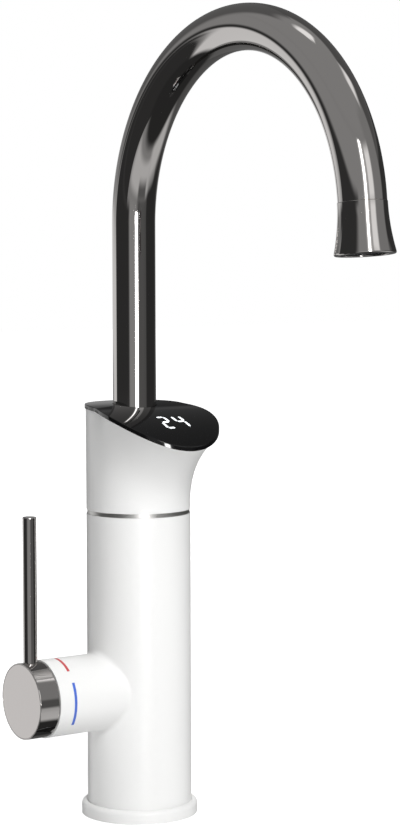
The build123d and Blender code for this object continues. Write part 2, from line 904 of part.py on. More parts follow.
def handle_screw():
    seat_x = cap_floor_x + m4[1] + loose
    return Pos(seat_x, 0, handle_z) * Rot(0, 90, 0) * screw(m4, web_x + screw_bite - seat_x)


def handle_bushing():
    left = -branch_reach
    bushing = level(branch_in_r - slip, left, left + bushing_l, 0, handle_z)
    nose_r = collar_r - skirt_wall - loose
    bushing += level(nose_r, left - bushing_nose, left + seat, 0, handle_z)
    ends = (left - bushing_nose - past, left + bushing_l + past)
    return bushing - level(hub_r + slip, *ends, 0, handle_z)


# Valve

def valve_body():
    hot_y, hot_z = port_place(hot_port_angle)
    cold_y, cold_z = port_place(cold_port_angle)
    body = level(chamber_r, chamber_open_x, chamber_end_x, 0, handle_z)
    body += upright(riser_r, valve_foot_z, handle_z, 0, shank_y)
    body += upright(valve_foot_r, valve_foot_z, valve_foot_z + valve_foot_h, 0, shank_y)
    ear_top = valve_foot_z + ear_t
    body += block(-ear_x, ear_x, ear_y - ear_r, ear_y + ear_r, valve_foot_z, ear_top)
    for x, y in valve_screw_places():
        body += upright(ear_r, floor_t, ear_top, x, y)
    body += level(port_r + passage_wall, 0, flow_x, hot_y, hot_z)
    body += upright(flow_r, hot_z - port_r - passage_wall, flow_z, flow_x, flow_y)
    body += upright(cold_spigot_r, handle_z, cold_top_z, cold_x, cold_y)
    socket = shank_spigot_h + slip
    body -= upright(shank_spigot_r + slip, valve_foot_z - past, valve_foot_z + socket, 0, shank_y)
    body -= upright(riser_bore, valve_foot_z, handle_z + port_r / 2, 0, shank_y)
    body -= level(cartridge_r + slip, chamber_open_x - past, chamber_floor_x, 0, handle_z)
    body -= level(port_r, chamber_floor_x - past, 0, 0, handle_z)
    body -= level(port_r, chamber_floor_x - past, flow_x, hot_y, hot_z)
    body -= upright(flow_port, hot_z, flow_z + past, flow_x, flow_y)
    spigot_z = flow_z - flow_spigot_l - slip
    body -= upright(flow_spigot_r + slip, spigot_z, flow_z + past, flow_x, flow_y)
    body -= level(port_r, chamber_floor_x - past, cold_x, cold_y, cold_z)
    body -= upright(pipe_bore, cold_z, cold_top_z + past, cold_x, cold_y)
    body -= upright(pipe_r + slip, cold_top_z - pipe_socket, cold_top_z + past, cold_x, cold_y)
    for x, y in valve_screw_places():
        body -= upright(m4[2] + slip, floor_t - past, ear_top + past, x, y)
    return body


def ports(left, right, radius):
    places = [(0, handle_z), port_place(hot_port_angle), port_place(cold_port_angle)]
    return [level(radius, left, right, y, z) for y, z in places]


def cartridge_body():
    body = level(cartridge_r, cartridge_left, cartridge_right, 0, handle_z)
    neck_x = cartridge_left + cartridge_neck
    body -= level(cartridge_in_r, neck_x, cartridge_right - cartridge_base_t, 0, handle_z)
    body -= level(stem_r + slip, cartridge_left - past, neck_x + past, 0, handle_z)
    for hole in ports(fixed_disc_x - past, cartridge_right + past, port_r):
        body -= hole
    for hole in ports(cartridge_right - seal_t, cartridge_right + past, seal_r + slip):
        body -= hole
    return body


def cartridge_seals():
    left, right = cartridge_right - seal_t, cartridge_right
    rings = zip(ports(left, right, seal_r), ports(left - past, right + past, port_r))
    return Compound(children=[outer - inner for outer, inner in rings])


def fixed_ceramic_disc():
    disc = level(disc_r, fixed_disc_x - disc_t, fixed_disc_x, 0, handle_z)
    for hole in ports(fixed_disc_x - disc_t - past, fixed_disc_x + past, port_r):
        disc -= hole
    return disc


def drive_pins(left, right, radius):
    places = [port_place(angle) for angle in drive_pin_angles]
    return [level(radius, left, right, y, z) for y, z in places]


def moving_ceramic_disc():
    # Its pocket joins the middle port to the hot one, or after a full turn to the cold one
    left = moving_disc_x - disc_t
    disc = level(disc_r - loose, left, moving_disc_x, 0, handle_z)
    pocket_x = moving_disc_x - pocket_depth
    pocket = block(0, pocket_depth + past, 0, port_ring, -port_r, port_r)
    disc -= Pos(pocket_x, 0, handle_z) * Rot(hot_port_angle, 0, 0) * pocket
    hot_y, hot_z = port_place(hot_port_angle)
    disc -= level(port_r, pocket_x, moving_disc_x + past, 0, handle_z)
    disc -= level(port_r, pocket_x, moving_disc_x + past, hot_y, hot_z)
    for hole in drive_pins(left - past, left + drive_pin_l + slip, drive_pin_r + slip):
        disc -= hole
    return disc


def valve_stem():
    stem = level(stem_disc_r, stem_disc_left, stem_disc_x, 0, handle_z)
    for pin in drive_pins(stem_disc_x - seat, stem_disc_x + drive_pin_l, drive_pin_r):
        stem += pin
    stem += level(stem_r, square_x, stem_disc_left + seat, 0, handle_z)
    half = stem_square / 2
    low, high = handle_z - half, handle_z + half
    stem += block(web_x + slip, square_x + seat, -half, half, low, high)
    return stem - level(m4[2] + slip, web_x - past, web_x + screw_bite + past, 0, handle_z)


def cartridge_nut():
    nut = level(cartridge_r, chamber_open_x, cartridge_left, 0, handle_z)
    head = Pos(square_x, 0, handle_z) * Rot(0, 90, 0) * hexagon(nut_af, nut_head_l)
    return nut + head - level(nut_bore_r, square_x - past, cartridge_left + past, 0, handle_z)


# Flow switch and cold pipe

def flow_bore_low():
    return flow_z + flow_floor


def flow_bore_high():
    return heater_base_z - flow_floor


def flow_switch_housing():
    housing = upright(flow_r, flow_z, heater_base_z, flow_x, flow_y)
    housing += upright(flow_spigot_r, flow_z - flow_spigot_l, flow_z, flow_x, flow_y)
    top = heater_base_z + flow_stub_l
    housing += upright(flow_stub_r, heater_base_z, top, flow_x, flow_y)
    housing -= upright(piston_r + slip, flow_bore_low(), flow_bore_high(), flow_x, flow_y)
    housing -= upright(flow_port, flow_z - flow_spigot_l - past, flow_bore_low(), flow_x, flow_y)
    return housing - upright(flow_stub_bore, flow_bore_high(), top + past, flow_x, flow_y)


def piston_top():
    return flow_bore_low() + piston_lift + piston_h


def flow_piston():
    low = flow_bore_low() + piston_lift
    return ring(piston_r, piston_hole, low, piston_top(), flow_x, flow_y)


def piston_spring():
    # Half turns, each a flat arc whose ends point along Y, so that they join smoothly
    low = piston_top() + spring_wire
    high = flow_bore_high() - spring_wire
    rise = (high - low) / (2 * spring_turns)
    gap = 2 * rise - 2 * spring_wire
    print(f"piston_spring: gap between turns {gap:.2f} mm")
    crest = sqrt(spring_r ** 2 + rise ** 2 / 4)
    arcs = []
    for k in range(2 * spring_turns):
        side = 1 if k % 2 == 0 else -1
        z = low + k * rise
        start, end = (side * spring_r, 0, z), (-side * spring_r, 0, z + rise)
        arcs.append(ThreePointArc(start, (0, side * crest, z + rise / 2), end))
    path = Wire(arcs)
    section = Plane(origin=path @ 0, z_dir=path % 0) * Circle(spring_wire)
    return Pos(flow_x, flow_y, 0) * sweep(section, path)


def reed_switch():
    low = flow_z + reed_z
    high = low + reed_h
    clip = ring(flow_r + slip + reed_clip_t, flow_r + slip, low, high, flow_x, flow_y)
    front = flow_y - flow_r - reed_clip_t
    box = block(flow_x - reed_w / 2, flow_x + reed_w / 2, front - reed_l, front + seat, low, high)
    return clip + box


def bypass_pipe():
    cold_y = port_place(cold_port_angle)[0]
    points = [
        (cold_x, cold_y, cold_top_z - pipe_socket),
        (cold_x, cold_y, pipe_run_z),
        (pipe_x, 0, pipe_run_z),
        (pipe_x, 0, bush_flange_z + pipe_insert),
    ]
    path = FilletPolyline(*points, radius=pipe_bend)
    section = Plane(origin=points[0], z_dir=(0, 0, 1)) * (Circle(pipe_r) - Circle(pipe_bore))
    return sweep(section, path)


# Heater

def element_legs():
    corners = around(4, element_ring, 45, heater_x, heater_y)
    return corners[1], corners[2]


def heater_base():
    top = heater_base_z + heater_base_t
    base = upright(heater_r, heater_base_z, top, heater_x, heater_y)
    base -= upright(flow_stub_r + slip, heater_base_z - past, top + past, flow_x, flow_y)
    for x, y in element_legs():
        base -= upright(element_r + slip, heater_base_z - past, top + past, x, y)
    for x, y in heater_screw_places():
        base -= upright(m25[2] + slip, heater_base_z - past, top + past, x, y)
    return base


def heater_gasket():
    low = heater_base_z + heater_base_t
    gasket = ring(heater_r, can_r, low, can_z, heater_x, heater_y)
    for x, y in heater_screw_places():
        gasket -= upright(m25[2] + slip, low - past, can_z + past, x, y)
    return gasket


def heater_chamber():
    inner = can_r - can_wall
    can = upright(heater_r, can_z, can_z + can_flange_t, heater_x, heater_y)
    can += upright(can_r, can_z, can_top_z, heater_x, heater_y)
    can += upright(nipple_r, can_top_z - can_top_t, nipple_top_z - seat, 0, tube_y)
    can -= upright(inner, can_z - past, can_top_z - can_top_t, heater_x, heater_y)
    can -= upright(nipple_bore, can_top_z - 2 * can_top_t, nipple_top_z + past, 0, tube_y)
    front = heater_y - can_r
    can -= forward(probe_r + slip, front - past, heater_y, heater_x, can_z + probe_z)
    for x, y in heater_screw_places():
        can -= upright(m25[2] + slip, can_z - past, can_z + can_flange_t + past, x, y)
    return can


def heater_screws():
    height = can_z + can_flange_t
    return screws_down(m25, height - heater_base_z, heater_screw_places(), height)


def heating_element():
    # Folded tube of four upright runs, its two ends down through the heater's base
    b, a, d, c = around(4, element_ring, 45, heater_x, heater_y)
    low = can_z + element_foot
    high = can_top_z - can_top_t - element_top
    end = heater_base_z - element_leg
    route = [(*a, end), (*a, high), (*b, high), (*b, low)]
    route += [(*c, low), (*c, high), (*d, high), (*d, end)]
    path = FilletPolyline(*route, radius=element_bend)
    element = sweep(Plane(origin=route[0], z_dir=(0, 0, 1)) * Circle(element_r), path)
    for x, y in (a, d):
        element += upright(pin_r, end - pin_l, end + seat, x, y)
    return element


def on_can_front(radius, depth, height):
    # Round piece lying on the front of the can, hollowed to its wall
    front = heater_y - can_r
    piece = forward(radius, front - depth, heater_y - can_r / 2, heater_x, height)
    low, high = height - 2 * radius, height + 2 * radius
    return piece - upright(can_r + slip, low, high, heater_x, heater_y)


def thermal_cutout():
    height = can_z + cutout_z
    cutout = on_can_front(cutout_r, cutout_h, height)
    front = heater_y - can_r - cutout_h
    for x in (heater_x - cutout_r / 2, heater_x + cutout_r / 2):
        cutout += forward(pin_r / 2, front - pin_l, front + seat, x, height)
    return cutout


def temperature_sensor():
    height = can_z + probe_z
    sensor = on_can_front(probe_collar_r, probe_h, height)
    front = heater_y - can_r - probe_h
    return sensor + forward(probe_r, front, heater_y - can_r + probe_depth, heater_x, height)


# Electronics

def board_case():
    top = case_z + case_h
    case = block(-case_half, case_half, case_y, case_back, case_z, top)
    inner = case_half - case_wall
    front = case_y + case_wall
    case -= block(-inner, inner, front, case_back + past, case_z + case_wall, top - case_wall)
    for side in (-1, 1):
        x0, x1 = side * leg_x - leg_w / 2, side * leg_x + leg_w / 2
        case += block(x0, x1, case_y, case_y + leg_t, floor_t, case_z + seat)
    return case - upright(cable_hole_r, top - 2 * case_wall, top + past, cable_x, cable_y)


def power_board():
    half = case_half - case_wall - seat
    front = case_y + case_wall
    low, high = case_z + case_wall + seat, case_z + case_h - case_wall - seat
    face = front + board_t
    room = body_in_r - loose - face
    relay_z = low + relay_lift
    board = block(-half, half, front, face, low, high)
    board += block(-half * 0.8, 0, face - seat, face + room / 2, relay_z, relay_z + relay_h)
    choke_z = low + choke_lift
    board += upright(choke_r, choke_z, choke_z + choke_h, -half / 2, face + choke_r - seat)
    board += forward(capacitor_r, face - seat, face + room / 2, half / 2, low + capacitor_lift)
    x0, x1 = cable_x - plug_w / 2, cable_x + plug_w / 2
    plug_top = high - plug_drop
    board += block(x0, x1, face - seat, cable_y + cable_r, plug_top - plug_h, plug_top)
    return board - upright(cable_r + slip, plug_top - plug_h / 2, high, cable_x, cable_y)


def display_cable():
    # Up the rear wall, through the bush and the head's web, round the bush to the display
    low = case_z + case_h - case_wall - seat - plug_drop - plug_h / 2
    board_low = -module_drop - plate_t - module_t - display_board_t
    foot = display_place() * Pos(cable_x - digits_x, display_board_l / 4, board_low)
    end, under = foot.position, (foot * Pos(0, 0, -cable_tail)).position
    rise = (under.Z - web_z) / 3
    turn = (bush_r + body_in_r) / 2 + cable_r
    right, front = [around(1, turn, angle)[0] for angle in cable_turns]
    route = [
        (cable_x, cable_y, low),
        (cable_x, cable_y, web_z + cable_tail),
        (*right, web_z + rise),
        (*front, web_z + 2 * rise),
        tuple(under),
        tuple(end),
    ]
    path = FilletPolyline(*route, radius=cable_bend)
    return sweep(Plane(origin=route[0], z_dir=(0, 0, 1)) * Circle(cable_r), path)


os.makedirs("parts", exist_ok=True)
pieces = (
    base_flange, body_shell, hot_mark, cold_mark, handle_collar, handle_cap, handle_rod,
    seam_ring, head_shell, display_plate, display_digits, spout_tube, spout_nozzle,
    base_gasket, rubber_washer, clamp_washer, lock_nut, inlet_shank, shank_o_ring,
    inlet_strainer, cable_grommet, base_screws, valve_screws, bush_screws, head_screws,
    heater_screws, handle_screw, valve_body, cartridge_body, cartridge_seals, cartridge_nut,
    fixed_ceramic_disc, moving_ceramic_disc, valve_stem, handle_bushing, flow_switch_housing,
    flow_piston, piston_spring, reed_switch, heater_base, heater_gasket, heater_chamber,
    heating_element, thermal_cutout, temperature_sensor, bypass_pipe, board_case, power_board,
    display_module, display_board, display_cable, spout_bush, spout_tail, spout_o_rings,
    spout_clip, dust_seal, nozzle_adapter, aerator_gasket, aerator_housing, aerator_insert,
)
for piece in pieces:
    export_step(piece(), f"parts/{piece.__name__}.step")
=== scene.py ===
import json
import math

import bmesh
import bpy
from mathutils import Matrix, Vector
from mathutils.geometry import tessellate_polygon


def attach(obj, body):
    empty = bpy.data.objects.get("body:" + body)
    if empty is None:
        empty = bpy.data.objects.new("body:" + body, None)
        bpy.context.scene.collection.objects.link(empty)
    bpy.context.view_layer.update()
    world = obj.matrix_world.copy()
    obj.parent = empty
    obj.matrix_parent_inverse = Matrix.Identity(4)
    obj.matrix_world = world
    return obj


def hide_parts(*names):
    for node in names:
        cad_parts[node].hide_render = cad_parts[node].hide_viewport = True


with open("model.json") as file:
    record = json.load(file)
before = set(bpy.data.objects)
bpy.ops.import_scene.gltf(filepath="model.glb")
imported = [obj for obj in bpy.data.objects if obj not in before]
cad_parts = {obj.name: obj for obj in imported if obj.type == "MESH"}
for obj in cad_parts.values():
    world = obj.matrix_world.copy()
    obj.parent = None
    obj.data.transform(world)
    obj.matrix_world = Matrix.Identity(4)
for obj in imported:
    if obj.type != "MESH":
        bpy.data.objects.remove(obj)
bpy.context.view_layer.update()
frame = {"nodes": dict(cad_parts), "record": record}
nodes = frame["nodes"]
mm = 0.001
print("tap: packed model loaded,", len(nodes), "nodes")


def hexColour(code):
    # sRGB hex to the linear values that the shaders use
    parts = [int(code[i:i + 2], 16) / 255 for i in (1, 3, 5)]
    return tuple(p / 12.92 if p <= 0.04045 else ((p + 0.055) / 1.055) ** 2.4 for p in parts) + (1.0,)


def addNode(tree, kind, inputs=None, **settings):
    # one node, its settings, and each input as a value or a link
    node = tree.nodes.new(kind)
    for key, value in settings.items():
        setattr(node, key, value)
    for key, value in (inputs or {}).items():
        if isinstance(value, bpy.types.NodeSocket):
            tree.links.new(value, node.inputs[key])
        else:
            node.inputs[key].default_value = value
    return node


# Camera: a long lens from the front left, a little above the display
cameraSizes = {
    "place": (-674.39, -1026.08, 316.92),
    "aim": (0.57076, 0.81762, -0.07571),
    "roll": -0.129,
    "lens": 96.76,
}


def placeCamera(sizes):
    lensData = bpy.data.cameras.new("photoCamera")
    lensData.lens = sizes["lens"]
    lensData.clip_start = 0.05
    lensData.clip_end = 50
    camera = bpy.data.objects.new("photoCamera", lensData)
    camera.location = Vector(sizes["place"]) * mm
    turn = Vector(sizes["aim"]).to_track_quat("-Z", "Y").to_matrix()
    camera.rotation_euler = (turn @ Matrix.Rotation(math.radians(sizes["roll"]), 3, "Z")).to_euler()
    bpy.context.scene.collection.objects.link(camera)
    bpy.context.scene.camera = camera


placeCamera(cameraSizes)
bpy.context.scene.view_settings.view_transform = "Standard"
print("tap: camera placed")


# Studio: a white surround, a large soft lamp, and a dome of cards that only polished parts mirror
studio = {
    "facing": -33.3,        # degrees, where the front of the studio is
    "fill": 0.16,           # soft light from all round
    "keyPower": 42.0,
    "keySize": 0.9,
    "keyTurn": 21.0,        # degrees to the right of the front
    "keyRise": 38.0,
    "keyDistance": 2.2,     # metres, like all lengths of the studio
    "lampAim": 0.18,        # height that the lamps point at
    "backTurn": 178.0,
    "backShare": 0.5,       # power of the lamp behind, as a share of the key's
    "domeRadius": 6.0,
    "domeHeight": 0.3,
    "domeSides": 64,
    "domeLevel": 0.36,
}
# turn from and to, rise from and to, soft edge of both, brightness, all turns in degrees from the front
# a turn of 400 lies past the seam behind, so that such a card has no edge there
domeCards = {
    "ceiling": (-400, 400, 40, 100, 1, 5.5, 0.38),
    "leftWall": (-121, 15, 8, 36, 18, 3.5, 0.38),
    "backLeftUpper": (-400, -127, 9, 63, 7, 5, 0.15),
    "rightWall": (50, 106, 3.5, 49, 10, 4.5, 0.32),
    "rightShadeLow": (103, 400, -52, -4, 5, 4, 0.12),
    "rightShadeHigh": (100, 400, 20, 59, 5, 4, 0.12),
    "rightShadeMiddle": (101, 400, -5, 20, 5, 4, 0.05),
    "horizonShade": (-121, -22, -7.5, 10, 5, 3.5, 0.045),
    "frontGap": (-25, 6, -11, 3.5, 6, 3.5, 0.39),
    "rightGap": (16, 63, -14, 6.5, 6.5, 2.5, 0.14),
    "rightGapDark": (62, 139, -18, 3.5, 10, 3, 0.04),
    "frontFloor": (-37, 67, -38, -16.5, 11, 4, 0.74),
    "rightFloor": (62, 125, -56, -24.5, 11, 5.5, 0.76),
    "leftFloorShade": (-106, -40, -60, -4.5, 1.5, 4, 0.045),
    "leftFloorLight": (-139, -109, -52, 1.5, 2, 3, 1.0),
    "backLeftFloor": (-400, -145, -60, -8.5, 4.5, 5.5, 0.17),
    "underShade": (-400, 400, -100, -47.5, 1, 5, 0.035),
    "midShade": (14, 56, -25, -12.5, 5, 5, 0.16),
    "firstLampGlow": (5, 24, -6, 36.5, 4, 1.5, 1.0),
    "firstLamp": (8.5, 18.5, -6, 36.5, 3.5, 1.5, 2.0),
    "firstLampCore": (11, 16.5, -6, 36.5, 2, 1, 14),
    "firstLampLow": (8.5, 19, -6, 0, 2, 1, 30),
    "secondLamp": (29, 53.5, 10, 34, 4.5, 4, 1.3),
    "sideLamp": (88, 114, 46, 59, 5.5, 4, 1.35),
    "topLampLeft": (-400, -122, 74, 86, 8, 3, 1.5),
    "topLampRight": (150, 400, 74, 86, 8, 3, 1.5),
    "backLeft": (-400, -136, -3.4, 2.2, 4.5, 1.2, 0.9),
    "backRight": (156, 400, -3.4, 2.2, 8, 1.2, 0.75),
}


def bareMaterial(name):
    material = bpy.data.materials.new(name)
    material.use_nodes = True
    material.node_tree.nodes.clear()
    return material, material.node_tree


def onlyMirrored(thing):
    # polished parts mirror it, and nothing else meets it
    for kind in ("camera", "diffuse", "transmission", "volume_scatter", "shadow"):
        setattr(thing, "visible_" + kind, False)


def domeFinish():
    material, tree = bareMaterial("studioDome")
    material.cycles.emission_sampling = "NONE"
    place = addNode(tree, "ShaderNodeTexCoord").outputs["Object"]
    way = addNode(tree, "ShaderNodeVectorMath", {0: place}, operation="NORMALIZE").outputs[0]
    parts = addNode(tree, "ShaderNodeSeparateXYZ", {0: way}).outputs
    front = addNode(tree, "ShaderNodeMath", {0: parts["Y"], 1: -1.0}, operation="MULTIPLY").outputs[0]
    turn = addNode(tree, "ShaderNodeMath", {0: parts["X"], 1: front}, operation="ARCTAN2").outputs[0]
    turn = addNode(tree, "ShaderNodeMath", {0: turn}, operation="DEGREES").outputs[0]
    rise = addNode(tree, "ShaderNodeMath", {0: parts["Z"]}, operation="ARCSINE").outputs[0]
    rise = addNode(tree, "ShaderNodeMath", {0: rise}, operation="DEGREES").outputs[0]
    level = None
    for turnFrom, turnTo, riseFrom, riseTo, turnSoft, riseSoft, bright in domeCards.values():
        mask = None
        for angle, edge, soft, low, high in (
            (turn, turnFrom, turnSoft, 0, 1), (turn, turnTo, turnSoft, 1, 0),
            (rise, riseFrom, riseSoft, 0, 1), (rise, riseTo, riseSoft, 1, 0),
        ):
            side = addNode(tree, "ShaderNodeMapRange", {
                "Value": angle, "From Min": edge - soft, "From Max": edge + soft,
                "To Min": low, "To Max": high,
            }, interpolation_type="SMOOTHSTEP").outputs[0]
            mask = side if mask is None else addNode(
                tree, "ShaderNodeMath", {0: mask, 1: side}, operation="MULTIPLY").outputs[0]
        start = studio["domeLevel"] if level is None else level
        level = addNode(tree, "ShaderNodeMix", {"Factor": mask, "A": start, "B": bright}).outputs["Result"]
    glow = addNode(tree, "ShaderNodeEmission", {"Strength": level}).outputs[0]
    addNode(tree, "ShaderNodeOutputMaterial", {"Surface": glow})
    return material


def softLamp(name, turn, power):
    # a round soft box, the turn in degrees from the studio's front
    turn = math.radians(studio["facing"] + turn)
    rise = math.radians(studio["keyRise"])
    back = Vector((math.sin(turn) * math.cos(rise), -math.cos(turn) * math.cos(rise), math.sin(rise)))
    light = bpy.data.lights.new(name, "AREA")
    light.shape = "DISK"
    light.size = studio["keySize"]
    light.energy = power
    lamp = bpy.data.objects.new(name, light)
    lamp.location = back * studio["keyDistance"] + Vector((0, 0, studio["lampAim"]))
    lamp.rotation_euler = (-back).to_track_quat("-Z", "Y").to_euler()
    lamp.visible_glossy = False     # polished parts mirror the dome's cards instead
    bpy.context.scene.collection.objects.link(lamp)


def buildStudio():
    scene = bpy.context.scene
    world = bpy.data.worlds.new("whiteSurround")
    world.use_nodes = True
    tree = world.node_tree
    tree.nodes.clear()
    path = addNode(tree, "ShaderNodeLightPath").outputs
    seen = addNode(tree, "ShaderNodeMath", {0: path["Is Camera Ray"], 1: path["Is Glossy Ray"]},
                   operation="MAXIMUM").outputs[0]
    seen = addNode(tree, "ShaderNodeMath", {0: seen, 1: path["Is Transmission Ray"]},
                   operation="MAXIMUM").outputs[0]
    strength = addNode(tree, "ShaderNodeMix", {"Factor": seen, "A": studio["fill"], "B": 1.0})
    light = addNode(tree, "ShaderNodeBackground", {
        "Color": hexColour("#FFFFFF"), "Strength": strength.outputs["Result"]})
    addNode(tree, "ShaderNodeOutputWorld", {"Surface": light.outputs[0]})
    scene.world = world

    softLamp("keyLamp", studio["keyTurn"], studio["keyPower"])
    softLamp("backLamp", studio["backTurn"], studio["keyPower"] * studio["backShare"])

    sides = studio["domeSides"]
    bpy.ops.mesh.primitive_uv_sphere_add(segments=sides, ring_count=sides // 2, radius=studio["domeRadius"])
    dome = bpy.context.object
    dome.name = "studioDome"
    dome.location.z = studio["domeHeight"]
    dome.rotation_euler.z = math.radians(studio["facing"])
    dome.data.materials.append(domeFinish())
    onlyMirrored(dome)

    flag = nozzleFlag(flagSizes)
    bpy.ops.mesh.primitive_plane_add(size=floorSizes["across"])
    floor = bpy.context.object
    floor.name = "worktopFloor"
    floor.location.z = -floorSizes["drop"]
    floor.visible_glossy = False
    floor.data.materials.append(floorFinish(floorSizes))


# Black flag that only the nozzle mirrors, as it hangs close to its left side, in millimetres
flagSizes = {
    "x": -30.0, "yFrom": -219.0, "yTo": -172.0, "zFrom": 296.0, "zTo": 380.0,
    "softEdge": 10.0, "softTop": 14.0,
    "leanFrom": 336.0, "lean": 0.95,     # above this height its soft edge slopes back
    "brightness": 0.05,
}


def nozzleFlag(sizes):
    x, yFrom, yTo, zFrom, zTo = [sizes[k] for k in ("x", "yFrom", "yTo", "zFrom", "zTo")]
    corners = [(x, yFrom, zFrom), (x, yTo, zFrom), (x, yTo, zTo), (x, yFrom, zTo)]
    mesh = bpy.data.meshes.new("nozzleFlag")
    mesh.from_pydata([Vector(c) * mm for c in corners], [], [(0, 1, 2, 3)])
    flag = bpy.data.objects.new("nozzleFlag", mesh)
    bpy.context.scene.collection.objects.link(flag)
    onlyMirrored(flag)
    material, tree = bareMaterial("blackVelvet")
    place = addNode(tree, "ShaderNodeTexCoord").outputs["Object"]
    parts = addNode(tree, "ShaderNodeSeparateXYZ", {0: place}).outputs
    leanFrom = sizes["leanFrom"] * mm
    above = addNode(tree, "ShaderNodeMath", {0: parts["Z"], 1: leanFrom}, operation="SUBTRACT").outputs[0]
    above = addNode(tree, "ShaderNodeMath", {0: above, 1: 0.0}, operation="MAXIMUM").outputs[0]
    lean = addNode(tree, "ShaderNodeMath", {0: above, 1: sizes["lean"]}, operation="MULTIPLY").outputs[0]
    reach = addNode(tree, "ShaderNodeMath", {0: parts["Y"], 1: lean}, operation="SUBTRACT").outputs[0]
    side = addNode(tree, "ShaderNodeMapRange", {
        "Value": reach, "From Min": yFrom * mm, "From Max": (yFrom + sizes["softEdge"]) * mm,
    }, interpolation_type="SMOOTHSTEP").outputs[0]
    top = addNode(tree, "ShaderNodeMapRange", {
        "Value": parts["Z"], "From Min": zTo * mm, "From Max": (zTo - sizes["softTop"]) * mm,
    }, interpolation_type="SMOOTHSTEP").outputs[0]
    # only rays from the nozzle's side meet it
    behind = addNode(tree, "ShaderNodeNewGeometry").outputs["Backfacing"]
    front = addNode(tree, "ShaderNodeMath", {0: 1.0, 1: behind}, operation="SUBTRACT").outputs[0]
    dark = addNode(tree, "ShaderNodeMath", {0: side, 1: top}, operation="MULTIPLY").outputs[0]
    dark = addNode(tree, "ShaderNodeMath", {0: dark, 1: front}, operation="MULTIPLY").outputs[0]
    black = addNode(tree, "ShaderNodeEmission", {"Strength": sizes["brightness"]}).outputs[0]
    clear = addNode(tree, "ShaderNodeBsdfTransparent").outputs[0]
    mixed = addNode(tree, "ShaderNodeMixShader", {0: dark, 1: clear, 2: black}).outputs[0]
    addNode(tree, "ShaderNodeOutputMaterial", {"Surface": mixed})
    mesh.materials.append(material)
    return flag


# Floor, in metres: the camera sees it glow near the foot and turn white further out
floorSizes = {
    "across": 12.0, "drop": 0.0002, "nearReach": 0.15, "farReach": 1.1, "nearGlow": 0.62, "farGlow": 1.0,
}


def floorFinish(sizes):
    # pale floor that keeps the shadow and is clear from below
    material, tree = bareMaterial("paleFloor")
    path = addNode(tree, "ShaderNodeLightPath").outputs
    place = addNode(tree, "ShaderNodeTexCoord").outputs["Object"]
    reach = addNode(tree, "ShaderNodeVectorMath", {0: place}, operation="LENGTH").outputs["Value"]
    glowing = addNode(tree, "ShaderNodeMapRange", {
        "Value": reach, "From Min": sizes["nearReach"], "From Max": sizes["farReach"],
        "To Min": sizes["nearGlow"], "To Max": sizes["farGlow"],
    }).outputs[0]
    seen = path["Is Camera Ray"]
    lift = addNode(tree, "ShaderNodeMath", {0: seen, 1: glowing}, operation="MULTIPLY").outputs[0]
    paint = addNode(tree, "ShaderNodeBsdfDiffuse", {"Color": hexColour("#F4F4F4")}).outputs[0]
    glow = addNode(tree, "ShaderNodeEmission", {"Strength": lift}).outputs[0]
    both = addNode(tree, "ShaderNodeAddShader", {0: paint, 1: glow}).outputs[0]
    clear = addNode(tree, "ShaderNodeBsdfTransparent").outputs[0]
    under = addNode(tree, "ShaderNodeNewGeometry").outputs["Backfacing"]
    mixed = addNode(tree, "ShaderNodeMixShader", {0: under, 1: both, 2: clear}).outputs[0]
    addNode(tree, "ShaderNodeOutputMaterial", {"Surface": mixed})
    return material


buildStudio()
print("tap: studio built")


# Finishes
def startFinish(name, colour, **shaderValues):
    # a material with one shader, its uniform numbers set on the shader's own sockets
    material = bpy.data.materials.new(name)
    material.use_nodes = True
    tree = material.node_tree
    shader = tree.nodes["Principled BSDF"]
    shader.inputs["Base Color"].default_value = hexColour(colour)
    for key, value in shaderValues.items():
        shader.inputs[key.replace("_", " ")].default_value = value
    place = addNode(tree, "ShaderNodeTexCoord").outputs["Object"]
    return material, tree, shader, place


def noiseAt(tree, place, grain, **values):
    # noise whose grains are about this many millimetres across
    noise = addNode(tree, "ShaderNodeTexNoise", {"Vector": place, "Scale": 1 / (grain * mm), **values})
    return noise.outputs["Fac"]


def spread(tree, value, low, high):
    # noise lies mostly between 0.3 and 0.7, which become low and high
    return addNode(tree, "ShaderNodeMapRange", {
        "Value": value, "From Min": 0.3, "From Max": 0.7, "To Min": low, "To Max": high}).outputs[0]


def relief(tree, shader, height, depth):
    # depth in millimetres
    bump = addNode(tree, "ShaderNodeBump", {"Height": height, "Distance": depth * mm, "Strength": 1.0})
    tree.links.new(bump.outputs[0], shader.inputs["Normal"])


def tint(tree, shader, value, colourA, colourB):
    mixed = addNode(tree, "ShaderNodeMix", {
        "Factor": value, "A": hexColour(colourA), "B": hexColour(colourB)}, data_type="RGBA")
    tree.links.new(mixed.outputs["Result"], shader.inputs["Base Color"])


def whiteLacqueredAbs():
    # injection moulded ABS under white lacquer: even, soft gloss with a faint orange peel
    material, tree, shader, place = startFinish("whiteLacqueredAbs", "#F1F1F0", Roughness=0.34, IOR=1.53)
    peel = noiseAt(tree, place, 2.4, Detail=1.0)
    gloss = spread(tree, noiseAt(tree, place, 40, Detail=2.0), 0.31, 0.38)
    tree.links.new(gloss, shader.inputs["Roughness"])
    relief(tree, shader, peel, 0.004)
    return material


def blackNickelPlate():
    # polished brass under black nickel: a dim, slightly warm mirror, a little uneven from the wheel
    material, tree, shader, place = startFinish("blackNickelPlate", "#B9B6B4", Metallic=1.0, Roughness=0.035)
    gloss = spread(tree, noiseAt(tree, place, 18, Detail=3.0), 0.025, 0.05)
    tree.links.new(gloss, shader.inputs["Roughness"])
    relief(tree, shader, noiseAt(tree, place, 14, Detail=1.0), 0.006)
    return material


handleAxisZ = 70.9      # height of the handle's axis, which the face's rings and the handle share
toolRingPitch = 0.35


